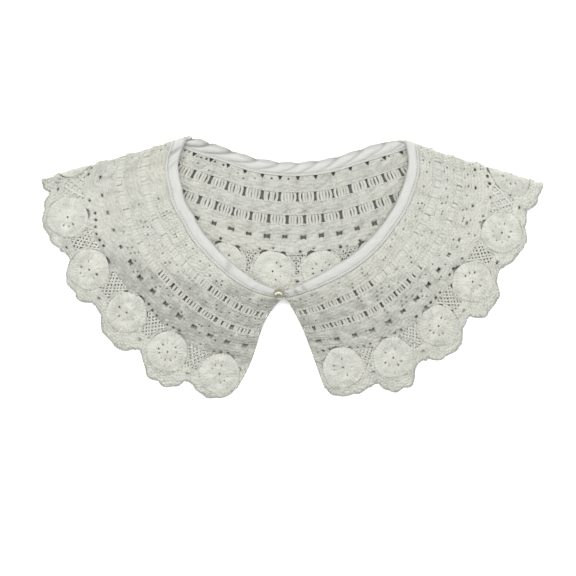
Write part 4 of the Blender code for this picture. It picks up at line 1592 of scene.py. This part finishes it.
@dataclass
class NetWork:
    """The fine diamond net between neighbouring medallions."""

    inner: ClassVar[float] = 19.3
    top: ClassVar[float] = 76.0
    bottom: ClassVar[float] = 93.0
    middle: float = 84.0
    overlap: float = 0.9
    spacing: float = 3.5
    slope: float = 1.25
    yarn: float = 0.80

    def lines(self, first: float, last: float) -> list[tuple[Grid, Grid]]:
        """Strands of the nets whose middles lie between two places along the collar.

        Args:
            first, last: The two places.
        Returns:
            Places along and down for each strand.
        """
        found = []
        rng = np.random.default_rng(5)
        for low, high in zip(CLOTH.centres[:-1], CLOTH.centres[1:]):
            middle = (low + high) / 2
            if not first <= middle < last:
                continue
            scale = float(CLOTH.stretch(np.array(middle), np.array(self.middle)))
            for way in (-1.0, 1.0):
                for offset in np.arange(-34.0, 34.0, self.spacing):
                    down = np.linspace(self.top - self.overlap, self.bottom + self.overlap, 60)
                    slope = self.slope * (1.0 + 0.12 * (rng.random() - 0.5))
                    x = offset + 0.7 * (rng.random() - 0.5) + way * (down - self.middle) / slope
                    along = middle + x / scale
                    radius, _ = CLOTH.nearest(along, down)
                    inside = (radius > self.inner - self.overlap) & (along > low) & (along < high)
                    if inside.sum() < 8:
                        continue
                    found.append((along[inside], down[inside]))
        return found

    def build(self, first: float, last: float, name: str, wardrobe: Wardrobe) -> bpy.types.Object:
        """The net of one panel as a piece.

        Args:
            first, last: The panel's ends.
            name: The piece's name.
            wardrobe: The finishes.
        Returns:
            The piece.
        """
        lines = self.lines(first, last)
        t = np.linspace(0.0, 1.0, 8)
        along = np.array([np.interp(t, np.linspace(0, 1, len(a)), a) for a, _ in lines])
        down = np.array([np.interp(t, np.linspace(0, 1, len(d)), d) for _, d in lines])
        thick = np.full_like(along, 1.5)
        low, high = CLOTH.heights(along, down, thick, thick)
        weave = 0.22 * np.cos(np.pi * np.arange(len(lines)))[:, None]
        height = (low + high) / 2 + weave
        own = np.random.default_rng(6).random((len(lines), 1))
        full = self.yarn * (0.9 + 0.4 * own + 0.5 * CLOTH.doubled(along, down))
        made = strands(along, down, height, full, self.yarn * 0.7, 0.1 + 0.3 * own)
        return made.piece(name, wardrobe.cotton, "crochet")


# Arched gaps over a medallion: turn round it, half their width, and how far they open.
ARCHES_ON_FRONT = ((0.05, 0.22, 1.9), (-0.80, 0.12, 1.7), (0.86, 0.13, 1.6), (1.5, 0.08, 0.9))
ARCHES_ON_BACK = ((-0.50, 0.20, 2.5), (0.54, 0.18, 2.3))
# How far the opening that a medallion sits in reaches from its centre.
DISC_OPENING = 16.9
# Distance from a medallion's centre, and its thickness there.
DISC_PROFILE = (
    (0.0, 3.0),
    (2.0, 3.1),
    (3.2, 3.0),
    (4.4, 3.0),
    (5.6, 2.7),
    (6.4, 2.3),
    (8.6, 2.3),
    (10.0, 2.7),
    (11.8, 2.9),
    (13.3, 2.6),
    (13.9, 2.4),
    (15.2, 2.3),
    (16.6, 1.95),
    (17.3, 1.75),
)


@dataclass
class Medallion:
    """A crocheted disc: raised centre, a ring of small holes, and a rim of long stitches."""

    number: int
    centre: float
    radius: float = 17.3
    columns: int = 120
    holes: int = 11
    ring: float = 7.6
    spokes: int = 30
    rim_stitches: int = 38
    inmost: tuple = (0.75, 1.2, 1.8)
    spacing: float = 0.66

    @staticmethod
    def opening(turn: Grid, back: bool) -> Grid:
        """How far the opening that a disc sits in reaches, with the arches on its neck side."""
        arches = ARCHES_ON_BACK if back else ARCHES_ON_FRONT
        return DISC_OPENING + sum(tall * hump(turn - at, wide, 4) for at, wide, tall in arches)

    def build(self, wardrobe: Wardrobe) -> bpy.types.Object:
        """The disc as a piece that stands for its solid.

        Args:
            wardrobe: The finishes.
        Returns:
            The piece.
        """
        radii = np.concatenate([self.inmost, np.arange(2.5, 17.0, self.spacing), [self.radius]])
        turns = 2 * math.pi * np.arange(self.columns) / self.columns
        radius, turn = np.meshgrid(radii, turns, indexing="ij")
        shift = noise_of(np.array(float(self.number)), 3.0) * 6.28
        wobble = 0.3 * np.sin(3 * turn + self.number) + 0.22 * np.sin(5 * turn + 2.3 * self.number)
        along, down = CLOTH.round_point(self.centre, radius + wobble * (radius / 17.0) ** 2, turn)
        period = self.holes * (turn + shift) / (2 * math.pi)
        nearest = np.round(period) % self.holes
        away = noise_of(nearest, self.number + 0.3) - 0.5
        beside = (period - np.round(period) + 0.3 * away) * 2 * math.pi * self.ring / self.holes
        size = 0.18 + 0.56 * noise_of(nearest, self.number)
        gap = np.hypot(beside, (radius - self.ring - 0.9 * away) * 0.8) - size
        kept = (gap[:-1] + gap[1:] + np.roll(gap[:-1] + gap[1:], -1, axis=1)) > 0.0
        knots, level = np.array(DISC_PROFILE).T
        thick = np.interp(radius, knots, level)
        drift = 0.5 * np.sin(2 * turn + self.number) + 0.3 * np.sin(5 * turn)
        spoke = np.cos(self.spokes * turn + 0.25 * radius + drift)
        long_stitch = spoke * ease((radius - 8.5) / 2.0)
        outer = np.cos(self.rim_stitches * turn - drift) * ease((radius - 13.6) / 1.0)
        middle = np.cos(2 * math.pi * radius / 2.1 + turn) * (1.0 - ease((radius - 4.0) / 2.0))
        rough = noise_of(np.floor((turn + 3.2) * 5.7) + 40 * np.floor(radius / 3.0), self.number)
        carve = np.where(radius < 13.7, long_stitch, outer)
        thick = thick + 0.25 * carve + 0.20 * middle + 0.5 * (rough - 0.5) * ease(radius / 6.0)
        low, high = CLOTH.heights(along, down, thick, thick * 0.85)
        edge = np.clip(1.0 - np.minimum(gap, 4.0 * (self.radius - radius) + 0.85) / 0.9, 0.0, 1.0)
        drop = (1.0 - np.sqrt(1.0 - edge**2)) * 0.28 * (high - low)
        # Painted shade with random mottled tone: darker between the long stitches, in the ring at
        # 13.8 mm and round the holes; rough, centre and blotch are random tone.
        hollow = np.clip(0.14 - 0.17 * carve + 0.3 * (0.5 - rough), 0, 1)
        hollow = hollow * ease((radius - 7.0) / 3.0) + 0.12 * hump(radius - 13.8, 0.6)
        inside = 1.0 - ease((radius - 10.0) / 2.0)
        blotch = mottle(along * 0.7, down, 4.5, 3.0) - 0.5
        centre = 0.22 * (1.0 - rough) * (1.0 - ease((radius - 6.0) / 3.0))
        hollow = np.clip(hollow + centre + 0.15 + 0.45 * blotch + 0.12 * edge**2 * inside, 0.0, 1.0)
        laid = np.stack([radius * np.cos(turn), radius * np.sin(turn), np.zeros_like(turn)], -1)
        faces = shell(
            CLOTH.place(along, down, low + drop),
            CLOTH.place(along, down, high - drop),
            kept,
            laid,
            hollow,
            around=True,
        )
        made = faces.piece(f"lace_medallion_{self.number:02d}", wardrobe.cotton, "crochet")
        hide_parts(f"medallion_{self.number:02d}")
        return made


@dataclass
class Binding:
    """Satin tape folded over the neck edge, wrinkled, and sewn through near its edge."""

    width: float = 10.4
    tape: float = 0.5
    seam: float = 0.2
    cloth: float = 1.2
    sewn: float = 8.6
    narrower: float = 0.26
    narrow_over: float = 60.0
    step: float = 1.15
    folds: tuple = (
        (241.0, 2.6, -0.7, 1.0),
        (232.0, 3.6, 0.8, 0.8),
        (213.0, 5.0, 0.5, -0.8),
        (96.0, 6.0, 0.6, 0.8),
        (70.0, 5.0, -0.5, 0.6),
        (34.0, 4.0, 0.6, -0.7),
        (912.0, 1.8, -0.8, 0.15),
        (908.0, 2.0, 0.9, 0.1),
        (902.0, 2.2, -0.7, 0.3),
        (884.0, 5.0, 0.5, -0.8),
    )
    twist_pitch: float = 19.0
    twist_slant: float = 18.0
    twist_fade: float = 48.0

    def stations(self) -> Grid:
        """Places along the neck, closer together round a shoulder's bend.

        Returns:
            The places.
        """
        fine = np.linspace(0.0, CLOTH.length, 12000)
        steps = np.linalg.norm(np.diff(CLOTH.plan(fine, self.width / 2), axis=0), axis=1)
        near = np.min([np.abs(fine - fold) for fold in CLOTH.folds], axis=0)[1:]
        density = 1.0 + 2.5 * hump(near, 14.0)
        total = np.concatenate([[0.0], np.cumsum(steps * density)])
        return np.interp(np.linspace(0.0, total[-1], round(total[-1] / self.step)), total, fine)

    def squeeze(self, along: Grid) -> Grid:
        """How wide the tape is, as a share of its width: it narrows towards both ends."""
        from_end = np.minimum(along, CLOTH.length - along)
        return 1.0 - self.narrower * (1.0 - ease(from_end / self.narrow_over))

    def profile(self) -> Grid:
        """The tape's closed outline: down, height, and whether it is outside.

        Returns:
            One row a point.
        """
        bottom, top = -self.seam - self.tape, self.cloth + self.seam + self.tape
        outer = [(d, top) for d in (10.4, 10.1, 9.6, 9.1, 8.5, 7.4, 6.0, 4.6, 3.2, 2.0, 1.1)]
        middle = (bottom + top) / 2
        half = (top - bottom) / 2
        for turn in np.radians([25, 55, 90, 125, 155]):
            outer.append((1.0 - math.sin(turn) * 1.0, middle + half * math.cos(turn)))
        under = (1.1, 1.9, 2.7, 3.5, 4.2, 4.9, 5.5, 6.1, 6.6)
        under += (7.1, 7.6, 8.1, 8.6, 9.1, 9.6, 10.1, 10.4)
        outer += [(d, bottom) for d in under]
        inner = [(10.4, bottom + self.tape), (6.0, bottom + self.tape), (1.6, bottom + self.tape)]
        inner += [(1.1, middle), (1.6, top - self.tape), (6.0, top - self.tape)]
        inner += [(9.0, top - self.tape), (10.4, top - self.tape)]
        rows = [(d, h, 1.0) for d, h in outer] + [(d, h, 0.0) for d, h in inner]
        return np.array(rows)

    def puffs(self, along: Grid, down: Grid) -> tuple[Grid, Grid]:
        """Slanting puffs where the tape is twisted behind the neck.

        Args:
            along, down: Cloth coordinates.
        Returns:
            How far each place is up a puff, from 0 to 1, and how strong the twist is there.
        """
        fine, run = CLOTH.run(self.width / 2)
        past = np.interp(along, fine, run) - np.interp(CLOTH.folds[0], fine, run)
        strength = ease(past / 4.0) * hump(past, self.twist_fade)
        strength = strength + 0.35 * CLOTH.on_back(along) * (1.0 - strength)
        slant = self.twist_slant * (np.clip(down, 0.0, 10.0) / 8.0) ** 2 - 8.3
        turns = (past + slant + 3.0 * np.sin(past / 17.0)) / self.twist_pitch
        return np.sqrt(np.abs(np.sin(math.pi * turns))), strength

    def build(self, wardrobe: Wardrobe) -> bpy.types.Object:
        """The tape as a piece that stands for the binding's solid.

        Args:
            wardrobe: The finishes.
        Returns:
            The piece.
        """
        profile = self.profile()
        station = self.stations()
        size = (len(station), len(profile))
        down, height, outside = (np.broadcast_to(column, size) for column in profile.T)
        left, right = CLOTH.front_edges(down)
        base = station[:, None]
        along = np.minimum(np.maximum(base, left), right)
        squeeze = self.squeeze(base)
        down = down * squeeze
        upper = ease((height - 0.6) / 0.8) * outside
        share = CLOTH.back_share(along, CLOTH.plan(along, down))
        face = np.where(share > 0.5, 1.0 - ease((height + 0.2) / 0.8), upper) * outside
        own = down / squeeze
        ridge = 0.35 * hump(own - 9.5, 0.45)
        groove = -0.30 * hump(own - self.sewn, 0.40)
        crown = 0.45 * np.sin(math.pi * np.clip(own / 9.0, 0, 1))
        wrinkle = 0.10 * np.sin(along * 0.31 + down * 0.8) * np.sin(along * 0.113)
        for place, wide, tall, lean in self.folds:
            off = (along - place) / wide + lean * (down - 5.0) / 5.0
            swell = np.sin(math.pi * np.clip(down / self.width, 0, 1))
            wrinkle = wrinkle + tall * np.exp(-(off**2) * 2.0) * swell
        puff, twist = self.puffs(along, own)
        body = 1.0 - ease((own - 7.6) / 1.0)
        lift = face * (ridge + groove + crown + wrinkle + 1.7 * (puff - 0.7) * twist * body)
        height = height + np.where(share > 0.5, -1.0, 1.0) * lift
        sway = 0.25 * np.sin(along * 0.23) + 0.2 * np.sin(along * 0.081 + 2.0)
        corner = hump(along - CLOTH.folds[0], 9.0)
        sway = sway - 1.3 * CLOTH.on_back(along) - 1.6 * corner
        down = down + (sway - 3.0 * (puff - 0.5) * twist) * (1.0 - down / self.width) * outside
        points = CLOTH.place(along, down, height)
        own = down / squeeze
        rows, columns = points.shape[:2]
        ids = np.arange(rows * columns).reshape(rows, columns)
        turned = np.roll(ids, -1, axis=1)
        quads = [np.stack([ids[:-1], turned[:-1], turned[1:], ids[1:]], -1).reshape(-1, 4)]
        outer = int(outside[0].sum())
        for end, order in ((0, 1), (-1, -1)):
            quads.append(self.end_faces(ids[end], outer)[:, ::order])
        # Painted shade: darker in the sewn groove, on the wrinkles' slopes and in their valleys,
        # along the twist's creases and towards the folded outer edge.
        seam_shade = 0.55 * hump(own - self.sewn, 0.5)
        slope = np.gradient(wrinkle, axis=0) / np.maximum(np.gradient(base, axis=0), 0.05)
        shade = 0.7 * np.clip(np.abs(slope), 0.0, 0.8) - 0.7 * np.minimum(wrinkle, 0.0)
        crease = (1.1 * hump(puff, 0.62, 4) + 0.25 * (1.0 - puff)) * twist * body
        rim = 0.35 * np.clip(1.0 - own / 1.8, 0.0, 1.0)
        hollow = np.clip(seam_shade + shade + crease + rim, 0.0, 0.85)
        hollow = hollow * face
        laid = np.stack([along * 0.6, down, height], -1)
        flat = points.reshape(-1, 3)
        faces = Faces(flat, np.concatenate(quads), laid.reshape(-1, 3), hollow.ravel())
        made = faces.piece("satin_binding", wardrobe.satin, "binding")
        self.face_outwards(made)
        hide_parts("neck_binding")
        return made

    @staticmethod
    def end_faces(ring: Grid, outer: int) -> Grid:
        """Faces that close one end of the tape, between its outside and its inside.

        Args:
            ring: Numbers of the end's points.
            outer: How many of them are outside.
        Returns:
            The faces.
        """
        out, inside = ring[:outer], ring[outer:][::-1]
        t = np.linspace(0.0, len(inside) - 1.0, outer)
        pick = inside[np.round(t).astype(int)]
        faces = []
        for k in range(outer - 1):
            faces.append([out[k], out[k + 1], pick[k + 1], pick[k]])
        return np.array(faces)

    @staticmethod
    def face_outwards(made: bpy.types.Object) -> None:
        """Tidies the end faces and points every face out.

        Args:
            made: The tape.
        """
        shape = bmesh.new()
        shape.from_mesh(made.data)
        bmesh.ops.dissolve_degenerate(shape, dist=1e-7, edges=shape.edges)
        bmesh.ops.recalc_face_normals(shape, faces=shape.faces)
        shape.to_mesh(made.data)
        shape.free()

    def sewing(self, wardrobe: Wardrobe) -> bpy.types.Object:
        """The line of stitches through the tape, on the side that shows.

        Args:
            wardrobe: The finishes.
        Returns:
            The piece.
        """
        fine, run = CLOTH.run(self.sewn)
        starts = np.arange(3.0, run[-1] - 4.0, 2.7)
        t = np.linspace(0.0, 1.0, 5)
        places = starts[:, None] + 1.7 * t
        along = np.interp(places, run, fine)
        down = self.sewn * self.squeeze(along)
        share = CLOTH.back_share(along, CLOTH.plan(along, down))
        seat = 0.06 + 0.12 * np.sin(math.pi * t)
        crown = 0.30 * math.sin(math.pi * self.sewn / 9.0) - 0.30
        front, back = self.cloth + self.seam + self.tape, -self.seam - self.tape
        height = np.where(share > 0.5, back - crown - seat, front + crown + seat)
        made = strands(along, down, height, 0.2, 0.16)
        return made.piece("binding_sewing", wardrobe.thread, "thread")


@dataclass
class Closure:
    """The pearl bead on its shank, and the thread loop that holds it."""

    x: float = -10.8
    y: float = -22.6
    radius: float = 4.6
    shank: float = 0.7
    sides: int = 56
    thread: float = 0.24
    lay: float = 2.2

    def seat(self) -> float:
        """Height of the binding's upper face under the bead, from its solid."""
        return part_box("button")[0].z / MM

    def bead(self, wardrobe: Wardrobe) -> bpy.types.Object:
        """A turned pearl on top of its shank.

        Args:
            wardrobe: The finishes.
        Returns:
            The piece.
        """
        seat = self.seat()
        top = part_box("button")[1].z / MM
        middle = top - self.radius
        angles = np.linspace(math.pi / 2 - 0.02, -math.acos(self.shank / self.radius), 40)
        out = np.concatenate([self.radius * np.cos(angles), [self.shank, self.shank, 0.05]])
        stem = [(seat + middle - 4.5) / 2, seat, seat]
        high = np.concatenate([middle + self.radius * np.sin(angles), stem])
        turns = 2 * math.pi * np.arange(self.sides) / self.sides
        x = self.x + CLOTH.CENTRING_X + out[:, None] * np.cos(turns)
        y = self.y + out[:, None] * np.sin(turns)
        points = np.stack([x, y, np.broadcast_to(high[:, None], x.shape)], -1) * MM
        ids = np.arange(points.shape[0] * self.sides).reshape(-1, self.sides)
        turned = np.roll(ids, -1, axis=1)
        quads = [np.stack([ids[:-1], ids[1:], turned[1:], turned[:-1]], -1).reshape(-1, 4)]
        for end, order in ((0, 1), (-1, -1)):
            rim = ids[end]
            caps = [[rim[0], rim[k], rim[k + 1], rim[k + 2]] for k in range(1, self.sides - 2, 2)]
            quads.append(np.array(caps)[:, ::order])
        flat = points.reshape(-1, 3)
        laid = flat / MM
        made = Faces(flat, np.concatenate(quads), laid, np.zeros(len(flat)))
        piece = made.piece("pearl_bead", wardrobe.pearl, "pearl")
        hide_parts("button")
        return piece

    def loop(self, wardrobe: Wardrobe) -> bpy.types.Object:
        """Two twisted threads from the right front, round under the bead.

        Args:
            wardrobe: The finishes.
        Returns:
            The piece.
        """
        level = (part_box("button_loop")[0].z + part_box("button_loop")[1].z) / 2 / MM
        reach = self.shank + 1.2
        turn = np.radians(np.linspace(60.0, 300.0, 40))
        x = np.concatenate([[-3.0, -6.0], self.x + reach * np.cos(turn), [-6.0, -3.0]])
        y = np.concatenate([[self.y + 1.2] * 2, self.y + reach * np.sin(turn), [self.y - 1.2] * 2])
        steps = np.hypot(np.diff(x), np.diff(y))
        run = np.concatenate([[0.0], np.cumsum(steps)])
        fine = np.linspace(0.0, run[-1], 140)
        x, y = np.interp(fine, run, x), np.interp(fine, run, y)
        ahead = np.stack([np.gradient(x), np.gradient(y)], -1)
        ahead /= np.linalg.norm(ahead, axis=-1, keepdims=True)
        parts = []
        for start in (0.0, math.pi):
            wind = start + fine * 2 * math.pi / self.lay
            side, rise = 0.2 * np.cos(wind), 0.2 * np.sin(wind)
            centre = [x - ahead[:, 1] * side, y + ahead[:, 0] * side, level + rise]
            parts.append(self.cord(np.stack(centre, -1), self.thread))
        piece = Faces.joined(parts).piece("twisted_loop", wardrobe.thread, "thread")
        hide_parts("button_loop")
        return piece

    @staticmethod
    def cord(centre: Grid, half: float, sides: int = 6) -> Faces:
        """A plain round thread along a line in the row frame, in millimetres.

        Args:
            centre: The line.
            half: Half the thread's width.
            sides: Faces round it.
        Returns:
            Its faces.
        """
        ahead = np.gradient(centre, axis=0)
        ahead /= np.linalg.norm(ahead, axis=-1, keepdims=True)
        across = np.stack([-ahead[:, 1], ahead[:, 0], np.zeros(len(centre))], -1)
        across /= np.linalg.norm(across, axis=-1, keepdims=True)
        above = np.cross(ahead, across)
        turns = 2 * math.pi * np.arange(sides) / sides
        sideways = across[:, None] * np.cos(turns)[None, :, None]
        upwards = above[:, None] * np.sin(turns)[None, :, None]
        skin = centre[:, None] + half * (sideways + upwards)
        skin[..., 0] += CLOTH.CENTRING_X
        ids = np.arange(len(centre) * sides).reshape(-1, sides)
        turned = np.roll(ids, -1, axis=1)
        quads = [np.stack([ids[:-1], turned[:-1], turned[1:], ids[1:]], -1).reshape(-1, 4)]
        for end, order in ((0, -1), (-1, 1)):
            rim = ids[end][::order]
            quads += [np.array([[rim[0], rim[k], rim[k + 1], rim[k + 2]] for k in (1, 3)])]
        laid = np.stack(np.broadcast_arrays(turns, np.arange(len(centre))[:, None] * 0.2, 0.0), -1)
        flat = skin.reshape(-1, 3) * MM
        return Faces(flat, np.concatenate(quads), laid.reshape(-1, 3), np.zeros(len(flat)))


@dataclass
class Studio:
    """A plain pale floor, soft lights and a camera straight above."""

    focus: Colour = (-0.00344, -0.01764, 0.004)
    seen_width: float = 0.48384
    lens: float = 85.0
    sensor: float = 36.0
    floor_half: float = 3.0
    floor_level: float = -0.0001
    floor_white: Colour = (0.93, 0.93, 0.93)
    floor_glow: float = 0.35
    sky: Colour = (0.9, 0.92, 0.9)
    sky_strength: float = 0.30
    # Tones of the grey surface under each panel, set with painted light and shade: darker under the
    # back, lighter under the fronts, whose raised cloth already shades the gaps more.
    under_back: float = 0.11
    under_front: float = 0.52
    from_fold: float = 6.0
    from_edge: float = 3.0
    sheet_gap: float = 0.00002
    lights: tuple = (
        ("soft_left", (-1.5, 0.1, 0.9), (1.2, 1.0), 13.0),
        ("soft_right", (1.5, 0.1, 0.9), (1.2, 1.0), 11.0),
        ("soft_top", (0.0, 0.62, 1.25), (2.2, 0.8), 22.0),
        ("soft_near", (0.0, -1.5, 0.8), (1.4, 0.5), 2.0),
    )

    def backing(self) -> None:
        """The grey surface that shows through the lace, inset from the collar's edges; its tone
        under each panel is set with painted light and shade.
        """
        for level, side in enumerate(Side, 1):
            grey = self.under_back if side is Side.BACK else self.under_front
            tint = (grey, grey, 0.92 * grey, 1.0)
            finish = Finish(f"grey_backing_{side.value}", Base_Color=tint, Roughness=0.9)
            first, last = LacePanel(side).span
            share, reach = np.meshgrid(np.linspace(0.0, 1.0, 240), np.linspace(4.0, 100.5, 30))
            left, right = CLOTH.front_edges(reach)
            first += self.from_fold * (side is not Side.FRONT_LEFT)
            last -= self.from_fold * (side is not Side.FRONT_RIGHT)
            start = np.maximum(first, left + self.from_edge)
            end = np.minimum(last, right - self.from_edge)
            along = start + (end - start) * share
            flat = CLOTH.plan(along, reach) * MM
            flat[..., 0] += CLOTH.CENTRING_X * MM
            height = np.full((*reach.shape, 1), self.sheet_gap * level)
            points = np.concatenate([flat, height], -1)
            ids = np.arange(reach.size).reshape(reach.shape)
            quads = np.stack([ids[:-1, :-1], ids[:-1, 1:], ids[1:, 1:], ids[1:, :-1]], -1)
            mesh = bpy.data.meshes.new(f"backing_{side.value}")
            mesh.from_pydata(points.reshape(-1, 3).tolist(), [], quads.reshape(-1, 4).tolist())
            mesh.materials.append(finish.material)
            sheet = bpy.data.objects.new(mesh.name, mesh)
            bpy.context.scene.collection.objects.link(sheet)

    def build(self) -> None:
        """Floor, lights, world and camera."""
        mesh = bpy.data.meshes.new("pale_floor")
        turns = ((-1, -1), (1, -1), (1, 1), (-1, 1))
        corners = [(self.floor_half * x, self.floor_half * y, self.floor_level) for x, y in turns]
        mesh.from_pydata(corners, [], [(0, 1, 2, 3)])
        floor = bpy.data.objects.new("pale_floor", mesh)
        bpy.context.scene.collection.objects.link(floor)
        pale = opaque(self.floor_white)
        finish = Finish(
            "pale_floor", Base_Color=pale, Roughness=0.9, Emission_Strength=self.floor_glow
        )
        mesh.materials.append(finish.material)
        self.backing()
        for name, place, size, power in self.lights:
            lamp = bpy.data.lights.new(name, "AREA")
            lamp.shape = "RECTANGLE"
            lamp.size, lamp.size_y = size
            lamp.energy = power
            holder = bpy.data.objects.new(name, lamp)
            holder.location = place
            aim = holder.location.normalized()
            holder.rotation_euler = aim.to_track_quat("Z", "Y").to_euler()
            bpy.context.scene.collection.objects.link(holder)
        world = bpy.data.worlds.new("studio")
        world.use_nodes = True
        background = world.node_tree.nodes["Background"]
        background.inputs["Color"].default_value = opaque(self.sky)
        background.inputs["Strength"].default_value = self.sky_strength
        bpy.context.scene.world = world
        eye = bpy.data.cameras.new("overhead")
        eye.lens = self.lens
        eye.sensor_width = self.sensor
        eye.clip_start = 0.01
        camera = bpy.data.objects.new("overhead", eye)
        distance = self.seen_width * self.lens / self.sensor
        camera.location = (self.focus[0], self.focus[1], self.focus[2] + distance)
        bpy.context.scene.collection.objects.link(camera)
        bpy.context.scene.camera = camera
        bpy.context.scene.view_settings.view_transform = "Standard"
        bpy.context.scene.view_settings.look = "None"


def main() -> None:
    """Builds every piece of the collar in order and reports it."""
    logging.basicConfig(level=logging.INFO, format="%(message)s")
    for spare in [o for o in bpy.data.objects if o.type in ("LIGHT", "CAMERA")]:
        bpy.data.objects.remove(spare)
    Studio().build()
    wardrobe = Wardrobe()
    discs = [Medallion(k, float(a)).build(wardrobe) for k, a in enumerate(CLOTH.centres, 1)]
    for side in Side:
        panel = LacePanel(side, column=1.15) if side is Side.BACK else LacePanel(side)
        cloth = panel.build(wardrobe)
        first, last = panel.span
        beside = [ChainLines(panel).build(wardrobe)]
        beside.append(NetWork().build(first, last, f"net_{side.value}", wardrobe))
        beside += [d for d, a in zip(discs, CLOTH.centres) if first < a <= last]
        width, length, area = panel.area()
        LOG.info("%s flat: %.3f x %.3f m, %.4f m2", side.value, width, length, area)
    binding = Binding()
    binding.sewing(wardrobe)
    binding.build(wardrobe)
    closure = Closure()
    closure.bead(wardrobe)
    closure.loop(wardrobe)


if __name__ == "__main__":
    main()
